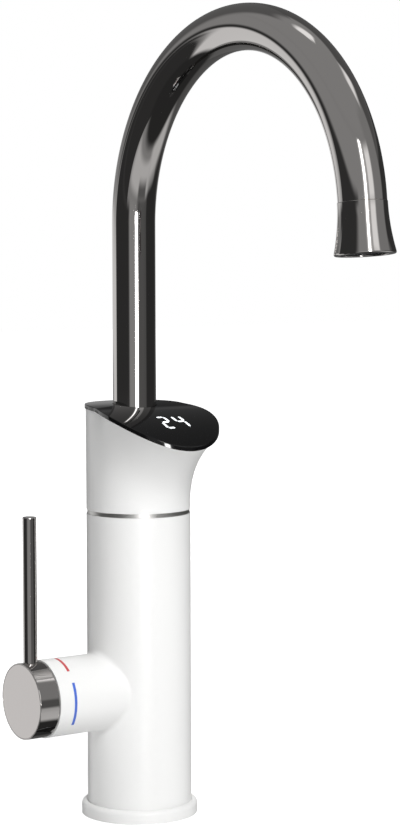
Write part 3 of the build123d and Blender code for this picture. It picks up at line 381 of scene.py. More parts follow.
def satinNickelFace():
    # turned nickel disc, polished after facing: an even pale grey with very fine rings
    material, tree, shader, place = startFinish("satinNickelFace", "#BDB9B7", Metallic=1.0, Roughness=0.09)
    centre = addNode(tree, "ShaderNodeMapping", {
        "Vector": place, "Location": (0, 0, -handleAxisZ * mm)}).outputs[0]
    flat = addNode(tree, "ShaderNodeVectorMath", {0: centre, 1: (0, 1, 1)}, operation="MULTIPLY").outputs[0]
    reach = addNode(tree, "ShaderNodeVectorMath", {0: flat}, operation="LENGTH").outputs["Value"]
    perMetre = 2 * math.pi / (toolRingPitch * mm)
    rings = addNode(tree, "ShaderNodeMath", {0: reach, 1: perMetre}, operation="MULTIPLY").outputs[0]
    wave = addNode(tree, "ShaderNodeMath", {0: rings}, operation="SINE").outputs[0]
    relief(tree, shader, wave, 0.0006)
    return material


def satinChrome():
    # chromed plastic trim ring: bright, a little blurred
    material, tree, shader, place = startFinish("satinChrome", "#C9C8C6", Metallic=1.0, Roughness=0.38)
    gloss = spread(tree, noiseAt(tree, place, 6, Detail=2.0), 0.34, 0.42)
    tree.links.new(gloss, shader.inputs["Roughness"])
    return material


def pianoBlackAcrylic():
    # back painted acrylic: deep black with a mirror gloss and a trace of haze
    material, tree, shader, place = startFinish("pianoBlackAcrylic", "#0B0B0C", Roughness=0.03, IOR=1.49)
    gloss = spread(tree, noiseAt(tree, place, 9, Detail=3.0), 0.02, 0.045)
    tree.links.new(gloss, shader.inputs["Roughness"])
    return material


def litDigits():
    # light strokes behind clear acrylic: cool white, a little weaker at the ends
    material, tree, shader, place = startFinish("litDigits", "#F4F8FA", Roughness=0.2)
    glow = spread(tree, noiseAt(tree, place, 3, Detail=0.0), 0.75, 1.0)
    shader.inputs["Emission Color"].default_value = hexColour("#F2F7FA")
    tree.links.new(glow, shader.inputs["Emission Strength"])
    return material


def enamelMark(name, colour, deep):
    # pad printed enamel: strong colour, faint mottling
    material, tree, shader, place = startFinish(name, colour, Roughness=0.3, IOR=1.5)
    tint(tree, shader, spread(tree, noiseAt(tree, place, 1.2, Detail=2.0), 0, 1), colour, deep)
    return material


def mouldedRubber():
    # black moulded rubber: matte, bloomed in patches, fine grain of the mould
    material, tree, shader, place = startFinish("mouldedRubber", "#1C1C1D", Roughness=0.75, IOR=1.52)
    tint(tree, shader, spread(tree, noiseAt(tree, place, 5, Detail=4.0), 0, 1), "#171718", "#2A2A2B")
    relief(tree, shader, noiseAt(tree, place, 0.35, Detail=2.0), 0.03)
    return material


def zincPlatedSteel():
    # zinc plated steel: grey with a cool, slightly cloudy satin
    material, tree, shader, place = startFinish("zincPlatedSteel", "#B9BCC0", Metallic=1.0, Roughness=0.34)
    clouds = noiseAt(tree, place, 4, Detail=4.0)
    tint(tree, shader, spread(tree, clouds, 0, 1), "#A9ADB2", "#C4C7CA")
    tree.links.new(spread(tree, clouds, 0.42, 0.28), shader.inputs["Roughness"])
    return material


def machinedBrass():
    # turned and milled brass: warm yellow, fine tool marks round the cut
    material, tree, shader, place = startFinish("machinedBrass", "#D6B36A", Metallic=1.0, Roughness=0.28)
    cut = addNode(tree, "ShaderNodeMapping", {"Vector": place, "Scale": (1, 1, 12)}).outputs[0]
    lines = noiseAt(tree, cut, 3.0, Detail=3.0)
    tint(tree, shader, spread(tree, noiseAt(tree, place, 9, Detail=3.0), 0, 1), "#CBA65B", "#DEBF7C")
    tree.links.new(spread(tree, lines, 0.2, 0.38), shader.inputs["Roughness"])
    relief(tree, shader, lines, 0.01)
    return material


def drawnStainless():
    # drawn stainless steel: bright grey with long faint lines
    material, tree, shader, place = startFinish("drawnStainless", "#C9C8C5", Metallic=1.0, Roughness=0.25)
    drawn = addNode(tree, "ShaderNodeMapping", {"Vector": place, "Scale": (1, 1, 0.06)}).outputs[0]
    lines = noiseAt(tree, drawn, 0.5, Detail=2.0)
    tree.links.new(spread(tree, lines, 0.18, 0.34), shader.inputs["Roughness"])
    relief(tree, shader, lines, 0.003)
    return material


def glassFilledNylon():
    # moulded glass filled nylon: near black, matte, with the fibres just showing
    material, tree, shader, place = startFinish("glassFilledNylon", "#2B2B2D", Roughness=0.55, IOR=1.53)
    stretched = addNode(tree, "ShaderNodeMapping", {"Vector": place, "Scale": (1, 1, 0.25)}).outputs[0]
    fibres = noiseAt(tree, stretched, 0.4, Detail=2.0)
    tint(tree, shader, spread(tree, fibres, 0, 1), "#262628", "#343437")
    relief(tree, shader, fibres, 0.008)
    return material


def lappedAlumina():
    # lapped alumina: off white, silky, with faint grey lapping clouds
    material, tree, shader, place = startFinish("lappedAlumina", "#EFECE4", Roughness=0.22, IOR=1.77)
    tint(tree, shader, spread(tree, noiseAt(tree, place, 2, Detail=4.0), 0, 1), "#E6E3DA", "#F4F1EA")
    return material


def glassFibreBoard():
    # green solder mask over woven glass: the weave just shows through as a fine grid
    material, tree, shader, place = startFinish("glassFibreBoard", "#1F6B3A", Roughness=0.35, IOR=1.55)
    weavePitch = 0.5
    threads = {"Vector": place, "Scale": 1 / (weavePitch * mm * 2 * math.pi), "Distortion": 0.4}
    warp = addNode(tree, "ShaderNodeTexWave", threads, bands_direction="X").outputs["Fac"]
    weft = addNode(tree, "ShaderNodeTexWave", threads, bands_direction="Z").outputs["Fac"]
    both = addNode(tree, "ShaderNodeMath", {0: warp, 1: weft}, operation="MULTIPLY").outputs[0]
    tint(tree, shader, both, "#1A5C31", "#278047")
    return material


def cableSheath():
    # extruded grey sheath: dull, with a faint ripple
    material, tree, shader, place = startFinish("cableSheath", "#3A3B3D", Roughness=0.6, IOR=1.5)
    relief(tree, shader, noiseAt(tree, place, 0.8, Detail=1.0), 0.02)
    return material


finishes = {
    "white_shell": whiteLacqueredAbs(),
    "red_mark": enamelMark("redEnamel", "#D2545A", "#C6494F"),
    "blue_mark": enamelMark("blueEnamel", "#4F74D6", "#4468C9"),
    "dark_chrome": blackNickelPlate(),
    "handle_face": satinNickelFace(),
    "seam_chrome": satinChrome(),
    "black_gloss": pianoBlackAcrylic(),
    "white_digits": litDigits(),
    "black_rubber": mouldedRubber(),
    "zinc_steel": zincPlatedSteel(),
    "brass": machinedBrass(),
    "stainless": drawnStainless(),
    "inner_plastic": glassFilledNylon(),
    "ceramic": lappedAlumina(),
    "board_green": glassFibreBoard(),
    "cable_sheath": cableSheath(),
}
for part in frame["record"]["subparts"]:
    for materialSlot in nodes[part["node"]].material_slots:
        materialSlot.material = finishes[part["material_slot"]]
print("tap: finishes made,", len(finishes))


# Ways of making a mesh, whose points are in millimetres
meshRules = {"mergeGap": 0.0005, "sharpAngle": 40.0, "loopGap": 1.25, "arcSteps": 6}


def newPiece(name, points, faces, slotName, body, replaced):
    mesh = bpy.data.meshes.new(name)
    mesh.from_pydata([Vector(p) * mm for p in points], [], faces)
    piece = bpy.data.objects.new(name, mesh)
    bpy.context.scene.collection.objects.link(piece)
    settle(piece, slotName, body, replaced)


def settle(piece, slotName, body, replaced):
    # merged, outward faces, smooth, then given its finish and its place in the model
    edit = bmesh.new()
    edit.from_mesh(piece.data)
    bmesh.ops.remove_doubles(edit, verts=edit.verts, dist=meshRules["mergeGap"] * mm)
    bmesh.ops.recalc_face_normals(edit, faces=edit.faces)
    edit.to_mesh(piece.data)
    edit.free()
    piece.data.shade_smooth()
    piece.data.set_sharp_from_angle(angle=math.radians(meshRules["sharpAngle"]))
    piece.data.materials.clear()
    piece.data.materials.append(finishes[slotName])
    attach(piece, body)
    if replaced:
        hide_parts(*replaced)


def softened(outline, closed=True):
    # corners (radius, height, round): each round corner becomes an arc with a close loop on both sides
    made = []
    steps, gap = meshRules["arcSteps"], meshRules["loopGap"]
    count = len(outline)
    for k, (r, h, bend) in enumerate(outline):
        if not bend or (not closed and k in (0, count - 1)):
            made.append((r, h))
            continue
        here = Vector((r, h))
        before = Vector(outline[k - 1][:2]) - here
        after = Vector(outline[(k + 1) % count][:2]) - here
        half = before.angle(after) / 2
        reach = bend / math.tan(half)
        inward = (before.normalized() + after.normalized()).normalized()
        middle = here + inward * (bend / math.sin(half))
        start = here + before.normalized() * reach - middle
        end = here + after.normalized() * reach - middle
        made.append(tuple(here + before.normalized() * reach * gap))
        sweep = start.angle_signed(end)
        for j in range(steps + 1):
            angle = -sweep * j / steps
            c, s = math.cos(angle), math.sin(angle)
            made.append((middle.x + start.x * c - start.y * s, middle.y + start.x * s + start.y * c))
        made.append(tuple(here + after.normalized() * reach * gap))
    return made


def turnedPiece(name, profile, place, slotName, body, replaced, closed=True, sides=160):
    # profile of (radius, height) spun about the height, which place then turns and moves
    points, faces = [], []
    for k in range(sides):
        angle = 2 * math.pi * k / sides
        points += [place @ Vector((r * math.cos(angle), r * math.sin(angle), h)) for r, h in profile]
    count = len(profile)
    for k in range(sides):
        a, b = k * count, (k + 1) % sides * count
        for j in range(count if closed else count - 1):
            i = (j + 1) % count
            faces.append((a + j, a + i, b + i, b + j))
    newPiece(name, points, faces, slotName, body, replaced)


def geometryTree(name, sizes):
    # an empty geometry tree with these named inputs
    tree = bpy.data.node_groups.new(name, "GeometryNodeTree")
    for label, value in sizes.items():
        kind = "NodeSocketInt" if isinstance(value, int) else "NodeSocketFloat"
        tree.interface.new_socket(name=label, in_out="INPUT", socket_type=kind)
    tree.interface.new_socket(name="Geometry", in_out="OUTPUT", socket_type="NodeSocketGeometry")
    return tree, tree.nodes.new("NodeGroupInput").outputs


def endTree(tree, geometry, material):
    smooth = addNode(tree, "GeometryNodeSetShadeSmooth", {"Geometry": geometry}).outputs[0]
    real = addNode(tree, "GeometryNodeRealizeInstances", {"Geometry": smooth}).outputs[0]
    done = addNode(tree, "GeometryNodeSetMaterial", {"Geometry": real, "Material": material}).outputs[0]
    addNode(tree, "NodeGroupOutput", {"Geometry": done})


def bakedPiece(name, tree, sizes, slotName, body, replaced):
    # runs the tree on an empty mesh and keeps the result as a plain mesh
    carrier = bpy.data.objects.new(name + "Carrier", bpy.data.meshes.new(name))
    bpy.context.scene.collection.objects.link(carrier)
    modifier = carrier.modifiers.new(name, "NODES")
    modifier.node_group = tree
    for item in tree.interface.items_tree:
        if item.in_out == "INPUT":
            value = sizes[item.name]
            modifier[item.identifier] = value if isinstance(value, int) else float(value)
    graph = bpy.context.evaluated_depsgraph_get()
    mesh = bpy.data.meshes.new_from_object(carrier.evaluated_get(graph))
    bpy.data.objects.remove(carrier)
    mesh.name = name
    piece = bpy.data.objects.new(name, mesh)
    bpy.context.scene.collection.objects.link(piece)
    settle(piece, slotName, body, replaced)


# Spout tube: straight up, then one even bend
spoutSizes = {
    "Tube radius": 12.0 * mm,
    "Axis y": 3.5 * mm,
    "Foot z": 202.0 * mm,
    "Straight": 125.8 * mm,
    "Bend radius": 100.0 * mm,
    "Bend angle": math.radians(174.7),
    "Sides": 144,
    "Steps": 300,
}


def buildSpoutTube(sizes):
    tree, size = geometryTree("tubeUpAndOver", sizes)
    bend, straight = size["Bend radius"], size["Straight"]
    arc = addNode(tree, "ShaderNodeMath", {0: bend, 1: size["Bend angle"]}, operation="MULTIPLY").outputs[0]
    length = addNode(tree, "ShaderNodeMath", {0: arc, 1: straight}, operation="ADD").outputs[0]
    top = addNode(tree, "ShaderNodeCombineXYZ", {"Z": length}).outputs[0]
    line = addNode(tree, "GeometryNodeCurvePrimitiveLine", {"Start": (0, 0, 0), "End": top}).outputs[0]
    line = addNode(tree, "GeometryNodeResampleCurve", {"Curve": line, "Count": size["Steps"]}).outputs[0]
    here = addNode(tree, "GeometryNodeInputPosition").outputs[0]
    along = addNode(tree, "ShaderNodeSeparateXYZ", {0: here}).outputs["Z"]
    # what lies past the straight part is laid round the bend
    past = addNode(tree, "ShaderNodeMath", {0: along, 1: straight}, operation="SUBTRACT").outputs[0]
    past = addNode(tree, "ShaderNodeMath", {0: past, 1: 0.0}, operation="MAXIMUM").outputs[0]
    angle = addNode(tree, "ShaderNodeMath", {0: past, 1: bend}, operation="DIVIDE").outputs[0]
    y = addNode(tree, "ShaderNodeMath", {0: angle}, operation="COSINE").outputs[0]
    y = addNode(tree, "ShaderNodeMath", {0: y, 1: 1.0}, operation="SUBTRACT").outputs[0]
    y = addNode(tree, "ShaderNodeMath", {0: y, 1: bend}, operation="MULTIPLY").outputs[0]
    y = addNode(tree, "ShaderNodeMath", {0: y, 1: size["Axis y"]}, operation="ADD").outputs[0]
    rise = addNode(tree, "ShaderNodeMath", {0: angle}, operation="SINE").outputs[0]
    rise = addNode(tree, "ShaderNodeMath", {0: rise, 1: bend}, operation="MULTIPLY").outputs[0]
    z = addNode(tree, "ShaderNodeMath", {0: along, 1: straight}, operation="MINIMUM").outputs[0]
    z = addNode(tree, "ShaderNodeMath", {0: rise, 1: z}, operation="ADD").outputs[0]
    z = addNode(tree, "ShaderNodeMath", {0: z, 1: size["Foot z"]}, operation="ADD").outputs[0]
    bent = addNode(tree, "ShaderNodeCombineXYZ", {"Y": y, "Z": z}).outputs[0]
    line = addNode(tree, "GeometryNodeSetPosition", {"Geometry": line, "Position": bent}).outputs[0]
    ring = addNode(tree, "GeometryNodeCurvePrimitiveCircle",
                   {"Resolution": size["Sides"], "Radius": size["Tube radius"]}).outputs[0]
    tube = addNode(tree, "GeometryNodeCurveToMesh", {"Curve": line, "Profile Curve": ring, "Fill Caps": True})
    endTree(tree, tube.outputs[0], finishes["dark_chrome"])
    bakedPiece("spoutTube", tree, sizes, "dark_chrome", "spout", ["spout_tube"])


buildSpoutTube(spoutSizes)

# Nozzle: a bell that opens out from the tube to a rolled lip
nozzleSizes = {
    "length": 25.5, "topRadius": 12.25, "mouthRadius": 15.4, "lipRound": 0.9, "lipWall": 3.2,
    "bore": 11.0, "seatHeight": 16.0, "joint": 0.25, "mouthEdge": 0.5, "crease": 0.1, "bellSteps": 24,
}


def nozzlePlace():
    # heights of its profile run on from the end of the tube
    reach = spoutSizes["Bend radius"] / mm
    centreY = spoutSizes["Axis y"] / mm - reach
    centreZ = (spoutSizes["Foot z"] + spoutSizes["Straight"]) / mm
    bend = Matrix.Rotation(spoutSizes["Bend angle"], 4, "X")
    return Matrix.Translation((0, centreY, centreZ)) @ bend @ Matrix.Translation((0, reach, 0))


def buildNozzle(sizes):
    length, top, mouth = sizes["length"], sizes["topRadius"], sizes["mouthRadius"]
    seat, crease = sizes["seatHeight"], sizes["crease"]
    outer = []
    for k in range(sizes["bellSteps"] + 1):
        t = k / sizes["bellSteps"]
        outer.append((top + (mouth - top) * t * t, length * t, 0))
    outer[0] = (top, 0, sizes["joint"])
    outer[-1] = (mouth, length, sizes["lipRound"])
    lip = mouth - sizes["lipWall"]
    inner = [
        (lip, length, sizes["mouthEdge"]), (lip, seat, crease), (sizes["bore"], seat, crease),
        (sizes["bore"], 0, crease),
    ]
    profile = softened(outer + inner)
    turnedPiece("spoutNozzle", profile, nozzlePlace(), "dark_chrome", "spout", ["spout_nozzle"])


buildNozzle(nozzleSizes)
print("tap: spout and nozzle made")

# Handle: collar, its bright face, and the rod
handleSizes = {
    "axisZ": handleAxisZ, "left": -76.2, "right": -64.4, "radius": 20.7, "rim": 0.6, "edge": 0.35,
    "rimEdge": 0.12, "skirt": 2.3, "skirtEdge": 0.2, "webX": -66.4, "hubRadius": 7.5, "hubEnd": -58.0,
    "hubEdge": 0.3, "screwBore": 2.1, "crease": 0.1, "faceDepth": 1.5, "faceGap": 0.06, "faceEdge": 0.18,
    "rodX": -70.3, "rodRadius": 3.8, "rodFoot": 89.3, "rodTop": 171.0, "rodRound": 0.6,
    "collarSides": 200, "rodSides": 96,
}


def alongX(sizes):
    # heights of the profile run along +X from the collar's left face
    turn = Matrix(((0, 0, 1, 0), (0, 1, 0, 0), (-1, 0, 0, 0), (0, 0, 0, 1)))
    return Matrix.Translation((sizes["left"], 0, sizes["axisZ"])) @ turn


def buildHandle(sizes):
    width = sizes["right"] - sizes["left"]
    web = sizes["webX"] - sizes["left"]
    end = sizes["hubEnd"] - sizes["left"]
    radius, hub, bore = sizes["radius"], sizes["hubRadius"], sizes["screwBore"]
    inside, skirt = radius - sizes["rim"], radius - sizes["skirt"]
    depth, crease, hubEdge = sizes["faceDepth"], sizes["crease"], sizes["hubEdge"]
    collar = softened([
        (inside, 0, sizes["rimEdge"]), (radius, 0, sizes["edge"]), (radius, width, sizes["edge"]),
        (skirt, width, sizes["skirtEdge"]), (skirt, web, hubEdge), (hub, web, hubEdge), (hub, end, hubEdge),
        (bore, end, crease), (bore, depth, crease), (inside, depth, crease),
    ])
    turnedPiece("handleCollar", collar, alongX(sizes), "dark_chrome", "handle", ["handle_collar"],
                sides=sizes["collarSides"])
    reach = inside - sizes["faceGap"]
    face = softened([
        (0, 0, 0), (reach / 2, 0, 0), (reach, 0, sizes["faceEdge"]), (reach, depth, crease), (0, depth, 0),
    ], closed=False)
    turnedPiece("handleFace", face, alongX(sizes), "handle_face", "handle", ["handle_cap"], closed=False,
                sides=sizes["collarSides"])
    rod = softened([
        (0, sizes["rodFoot"], 0), (sizes["rodRadius"], sizes["rodFoot"], crease),
        (sizes["rodRadius"], sizes["rodTop"], sizes["rodRound"]), (0, sizes["rodTop"], 0),
    ], closed=False)
    turnedPiece("handleRod", rod, Matrix.Translation((sizes["rodX"], 0, 0)), "dark_chrome", "handle",
                ["handle_rod"], closed=False, sides=sizes["rodSides"])


buildHandle(handleSizes)
print("tap: handle made")

# Trim ring in the seam between the column and its head
seamSizes = {"outer": 28.5, "inner": 26.5, "foot": 168.4, "top": 170.8, "edge": 0.15, "sides": 200}


def buildSeamRing(sizes):
    profile = softened([
        (sizes["inner"], sizes["foot"], 0), (sizes["outer"], sizes["foot"], sizes["edge"]),
        (sizes["outer"], sizes["top"], sizes["edge"]), (sizes["inner"], sizes["top"], 0),
    ])
    turnedPiece("seamRing", profile, Matrix.Identity(4), "seam_chrome", "column", ["seam_ring"],
                sides=sizes["sides"])


buildSeamRing(seamSizes)

# Display plate: an egg outline under a curved skin, with a soft edge all round
plateSizes = {
    "radius": 29.6, "reach": 24.9, "power": 1.587, "thickness": 2.4, "edge": 0.3, "edgeRows": 6,
    "skinInset": 0.36, "lowEdge": 0.15, "holeY": 3.5, "holeRadius": 12.3, "rearZ": 229.25, "tipZ": 208.9,
    "tipSlope": 37.0,
    "overrun": 1.0,         # how far the height's curve runs past the plate at both ends
    "sides": 288, "rings": 20,
}


def plateHeight(sizes, y):
    # one curve that leaves the rear level and falls to the tip at its slope
    slope, over = math.tan(math.radians(sizes["tipSlope"])), sizes["overrun"]
    rearY, tipY = sizes["radius"] + over, -(sizes["radius"] + sizes["reach"]) - over
    rear, tip = sizes["rearZ"], sizes["tipZ"] - slope * over
    near = tip + slope * (rearY - tipY) / 3
    t = (rearY - y) / (rearY - tipY)
    return rear * ((1 - t) ** 3 + 3 * t * (1 - t) ** 2) + near * 3 * t * t * (1 - t) + tip * t ** 3


def plateOutline(sizes, angle, inset):
    share = max(math.cos(angle), 0.0) ** sizes["power"]
    r = sizes["radius"] + sizes["reach"] * share - inset
    return r * math.sin(angle), -r * math.cos(angle)


def buildPlate(sizes):
    edge, steps, low = sizes["edge"], sizes["edgeRows"], sizes["lowEdge"]
    rows = []       # each row is (share of the way out, inset of the outline, drop)
    for k in range(sizes["rings"] + 1):
        rows.append((k / sizes["rings"], sizes["skinInset"], 0.0))      # ends just short of the soft edge
    for k in range(steps + 1):
        turn = math.pi / 2 * k / steps
        rows.append((1.0, edge * (1 - math.sin(turn)), edge * (1 - math.cos(turn))))
    rows.append((1.0, 0.0, sizes["thickness"] - low))
    rows.append((1.0, low, sizes["thickness"]))
    rows.append((0.0, low, sizes["thickness"]))
    points, faces = [], []
    count = len(rows)
    for k in range(sizes["sides"]):
        angle = 2 * math.pi * k / sizes["sides"]
        holeX = sizes["holeRadius"] * math.sin(angle)
        holeY = sizes["holeY"] - sizes["holeRadius"] * math.cos(angle)
        for share, inset, drop in rows:
            x, y = plateOutline(sizes, angle, inset)
            x, y = holeX + (x - holeX) * share, holeY + (y - holeY) * share
            points.append((x, y, plateHeight(sizes, y) - drop))
    for k in range(sizes["sides"]):
        a, b = k * count, (k + 1) % sizes["sides"] * count
        faces += [(a + j, b + j, b + (j + 1) % count, a + (j + 1) % count) for j in range(count)]
    newPiece("displayPlate", points, faces, "black_gloss", "column", ["display_plate"])


buildPlate(plateSizes)
print("tap: display plate made")

# Inlet shank: a real pipe thread up through the worktop, with its relief above the hose's stretch
threadSizes = {
    "Major radius": 10.478 * mm,
    "Minor radius": 9.316 * mm,
    "Pitch": 1.814 * mm,
    "Foot z": -56.0 * mm,
    "Top z": 5.5 * mm,
    "Axis y": -5.0 * mm,
    "Relief z": -44.0 * mm,
    "Relief radius": 9.478 * mm,
    "Relief half width": 0.5 * mm,
    "Flat": 0.06,           # share of the ridge's flank that the crest and the root each take
    "Sides": 96,
    "Rows": 320,
}


def buildThread(sizes):
    tree, size = geometryTree("pipeThread", sizes)
    grid = addNode(tree, "GeometryNodeMeshGrid", {
        "Size X": 1.0, "Size Y": 1.0, "Vertices X": size["Sides"], "Vertices Y": size["Rows"]}).outputs[0]
    here = addNode(tree, "GeometryNodeInputPosition").outputs[0]
    here = addNode(tree, "ShaderNodeSeparateXYZ", {0: here}).outputs
    turn = addNode(tree, "ShaderNodeMath", {0: here["X"], 1: 0.5}, operation="ADD").outputs[0]
    share = addNode(tree, "ShaderNodeMath", {0: here["Y"], 1: 0.5}, operation="ADD").outputs[0]
    foot, top = size["Foot z"], size["Top z"]
    major, minor, relief = [size[k + " radius"] for k in ("Major", "Minor", "Relief")]
    length = addNode(tree, "ShaderNodeMath", {0: top, 1: foot}, operation="SUBTRACT").outputs[0]
    rise = addNode(tree, "ShaderNodeMath", {0: share, 1: length}, operation="MULTIPLY").outputs[0]
    # a ridge for each pitch, a little rounded at its crest and root
    phase = addNode(tree, "ShaderNodeMath", {0: rise, 1: size["Pitch"]}, operation="DIVIDE").outputs[0]
    phase = addNode(tree, "ShaderNodeMath", {0: phase, 1: turn}, operation="ADD").outputs[0]
    phase = addNode(tree, "ShaderNodeMath", {0: phase}, operation="FRACT").outputs[0]
    ridge = addNode(tree, "ShaderNodeMath", {0: phase, 1: 0.5}, operation="SUBTRACT").outputs[0]
    ridge = addNode(tree, "ShaderNodeMath", {0: ridge}, operation="ABSOLUTE").outputs[0]
    ridge = addNode(tree, "ShaderNodeMath", {0: ridge, 1: 2.0}, operation="MULTIPLY").outputs[0]
    crest = addNode(tree, "ShaderNodeMath", {0: 1.0, 1: size["Flat"]}, operation="SUBTRACT").outputs[0]
    ridge = addNode(tree, "ShaderNodeMapRange", {
        "Value": ridge, "From Min": size["Flat"], "From Max": crest,
    }, interpolation_type="SMOOTHSTEP").outputs[0]
    depth = addNode(tree, "ShaderNodeMath", {0: major, 1: minor}, operation="SUBTRACT").outputs[0]
    radius = addNode(tree, "ShaderNodeMath", {0: ridge, 1: depth}, operation="MULTIPLY").outputs[0]
    radius = addNode(tree, "ShaderNodeMath", {0: minor, 1: radius}, operation="ADD").outputs[0]
    # chamfer at the foot, then the relief with sloping shoulders
    chamfer = addNode(tree, "ShaderNodeMath", {0: minor, 1: rise}, operation="ADD").outputs[0]
    radius = addNode(tree, "ShaderNodeMath", {0: radius, 1: chamfer}, operation="MINIMUM").outputs[0]
    z = addNode(tree, "ShaderNodeMath", {0: foot, 1: rise}, operation="ADD").outputs[0]
    off = addNode(tree, "ShaderNodeMath", {0: z, 1: size["Relief z"]}, operation="SUBTRACT").outputs[0]
    off = addNode(tree, "ShaderNodeMath", {0: off}, operation="ABSOLUTE").outputs[0]
    half = size["Relief half width"]
    past = addNode(tree, "ShaderNodeMath", {0: off, 1: half}, operation="SUBTRACT").outputs[0]
    past = addNode(tree, "ShaderNodeMath", {0: past, 1: 0.0}, operation="MAXIMUM").outputs[0]
    relieved = addNode(tree, "ShaderNodeMath", {0: relief, 1: past}, operation="ADD").outputs[0]
    radius = addNode(tree, "ShaderNodeMath", {0: radius, 1: relieved}, operation="MINIMUM").outputs[0]
    angle = addNode(tree, "ShaderNodeMath", {0: turn, 1: 2 * math.pi}, operation="MULTIPLY").outputs[0]
    x = addNode(tree, "ShaderNodeMath", {0: angle}, operation="COSINE").outputs[0]
    x = addNode(tree, "ShaderNodeMath", {0: radius, 1: x}, operation="MULTIPLY").outputs[0]
    y = addNode(tree, "ShaderNodeMath", {0: angle}, operation="SINE").outputs[0]
    y = addNode(tree, "ShaderNodeMath", {0: radius, 1: y}, operation="MULTIPLY").outputs[0]
    y = addNode(tree, "ShaderNodeMath", {0: y, 1: size["Axis y"]}, operation="ADD").outputs[0]
    wound = addNode(tree, "ShaderNodeCombineXYZ", {"X": x, "Y": y, "Z": z}).outputs[0]
    thread = addNode(tree, "GeometryNodeSetPosition", {"Geometry": grid, "Position": wound}).outputs[0]
    endTree(tree, thread, finishes["brass"])
    bakedPiece("shankThread", tree, sizes, "brass", "column", ["inlet_shank"])


# heights and radii of the plain part of the shank, in millimetres
shankSizes = {
    "foot": -56.0, "core": 9.316, "bore": 5.5, "seat": 7.0, "seatTop": -52.0, "shoulder": 5.4,
    "flange": 11.9, "flangeLow": 5.5, "flangeTop": 9.0, "spigot": 9.0, "spigotTop": 15.0, "groove": 7.0,
    "grooveLow": 10.9, "grooveTop": 13.1, "y": -5.0, "crease": 0.1, "lowEdge": 0.2, "edge": 0.3,
    "topEdge": 0.4, "sides": 96,
}


def buildShank(sizes):
    foot, core, bore, seat = [sizes[k] for k in ("foot", "core", "bore", "seat")]
    flange, spigot, groove = [sizes[k] for k in ("flange", "spigot", "groove")]
    crease, edge = sizes["crease"], sizes["edge"]
    profile = softened([
        (seat, foot, edge), (core, foot, 0), (core, sizes["shoulder"], 0),
        (flange, sizes["flangeLow"], sizes["lowEdge"]), (flange, sizes["flangeTop"], edge),
        (spigot, sizes["flangeTop"], crease), (spigot, sizes["grooveLow"], crease),
        (groove, sizes["grooveLow"], crease), (groove, sizes["grooveTop"], crease),
        (spigot, sizes["grooveTop"], crease), (spigot, sizes["spigotTop"], sizes["topEdge"]),
        (bore, sizes["spigotTop"], edge), (bore, sizes["seatTop"], crease), (seat, sizes["seatTop"], crease),
    ])
    turnedPiece("shankCore", profile, Matrix.Translation((0, sizes["y"], 0)), "brass", "column", [],
                sides=sizes["sides"])


buildThread(threadSizes)
buildShank(shankSizes)

# Lock nut: a hexagon whose corners are turned back at both faces
nutSizes = {
    "acrossFlats": 30.0, "bore": 10.6, "foot": -43.0, "top": -35.0, "y": -5.0,
    "face": 14.6, "slope": 0.577, "boreChamfer": 0.9, "sides": 180,
}


def buildLockNut(sizes):
    points, faces = [], []
    flat, face, bore = sizes["acrossFlats"] / 2, sizes["face"], sizes["bore"]
    low, high, chamfer = sizes["foot"], sizes["top"], sizes["boreChamfer"]
    sixth = math.pi / 3
    for k in range(sizes["sides"]):
        angle = 2 * math.pi * k / sizes["sides"]
        corner = (angle + sixth / 2) % sixth - sixth / 2        # angle from the nearest corner
        reach = flat / math.cos(sixth / 2 - abs(corner))
        back = max(0.0, reach - face) * sizes["slope"]
        profile = [
            (bore, low + chamfer), (bore + chamfer, low), (face, low), (reach, low + back),
            (reach, high - back), (face, high), (bore + chamfer, high), (bore, high - chamfer),
        ]
        points += [(r * math.cos(angle), sizes["y"] + r * math.sin(angle), h) for r, h in profile]
    count = len(profile)
    for k in range(sizes["sides"]):
        a, b = k * count, (k + 1) % sizes["sides"] * count
        faces += [(a + j, b + j, b + (j + 1) % count, a + (j + 1) % count) for j in range(count)]
    newPiece("lockNut", points, faces, "brass", "column", ["lock_nut"])


buildLockNut(nutSizes)

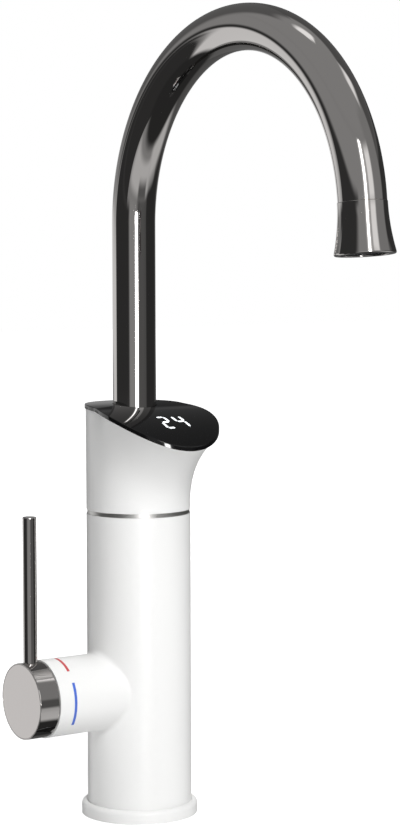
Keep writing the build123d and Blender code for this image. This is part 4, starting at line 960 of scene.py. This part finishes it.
# Washers under the worktop, both with a slot for the mains cable
washerSizes = {
    "radius": 25.0, "bore": 10.778, "y": -5.0, "slotHalf": 4.5, "slotFrom": 8.5, "steps": 120,
    "top": -30.0, "rubber": 3.0, "rubberEdge": 0.5, "steel": 2.0, "steelEdge": 0.25,
}


def slottedOutline(sizes, inset):
    # round from one lip of the slot to the other, then in along the slot
    radius, half = sizes["radius"] - inset, sizes["slotHalf"] + inset
    start = math.asin(half / radius)
    outline = []
    for k in range(sizes["steps"] + 1):
        angle = start + (2 * math.pi - 2 * start) * k / sizes["steps"]
        outline.append((radius * math.sin(angle), sizes["y"] + radius * math.cos(angle)))
    floor = sizes["slotFrom"] - inset
    return outline + [(-half, floor), (half, floor)]


def buildWasher(sizes, name, top, thickness, edge, slotName, replaced):
    # the outline runs down in four rows, the bore too, and both faces are filled between them
    rows = [(edge, 0), (0, edge), (0, thickness - edge), (edge, thickness)]
    turns = [2 * math.pi * k / sizes["steps"] for k in range(sizes["steps"])]
    points, faces, loops = [], [], []
    for inset, drop in rows:
        outer = slottedOutline(sizes, inset)
        bore = sizes["bore"] + inset
        inner = [(bore * math.sin(turn), sizes["y"] + bore * math.cos(turn)) for turn in turns]
        loops.append((len(points), len(outer), len(inner)))
        points += [(x, y, top - drop) for x, y in outer + inner]
    for (a, outerCount, innerCount), (b, _, _) in zip(loops, loops[1:]):
        for start, count in ((0, outerCount), (outerCount, innerCount)):
            for j in range(count):
                i = (j + 1) % count
                faces.append((a + start + j, a + start + i, b + start + i, b + start + j))
    for start, outerCount, innerCount in (loops[0], loops[-1]):
        outer = [Vector(points[start + j]) for j in range(outerCount)]
        inner = [Vector(points[start + outerCount + j]) for j in range(innerCount)]
        faces += [tuple(start + j for j in face) for face in tessellate_polygon([outer, inner])]
    newPiece(name, points, faces, slotName, "column", replaced)


def buildWashers(sizes):
    top, rubber, steel = sizes["top"], sizes["rubber"], sizes["steel"]
    buildWasher(sizes, "rubberWasher", top, rubber, sizes["rubberEdge"], "black_rubber", ["rubber_washer"])
    buildWasher(sizes, "clampWasher", top - rubber, steel, sizes["steelEdge"], "zinc_steel", ["clamp_washer"])


buildWashers(washerSizes)
print("tap: pieces under the worktop made")
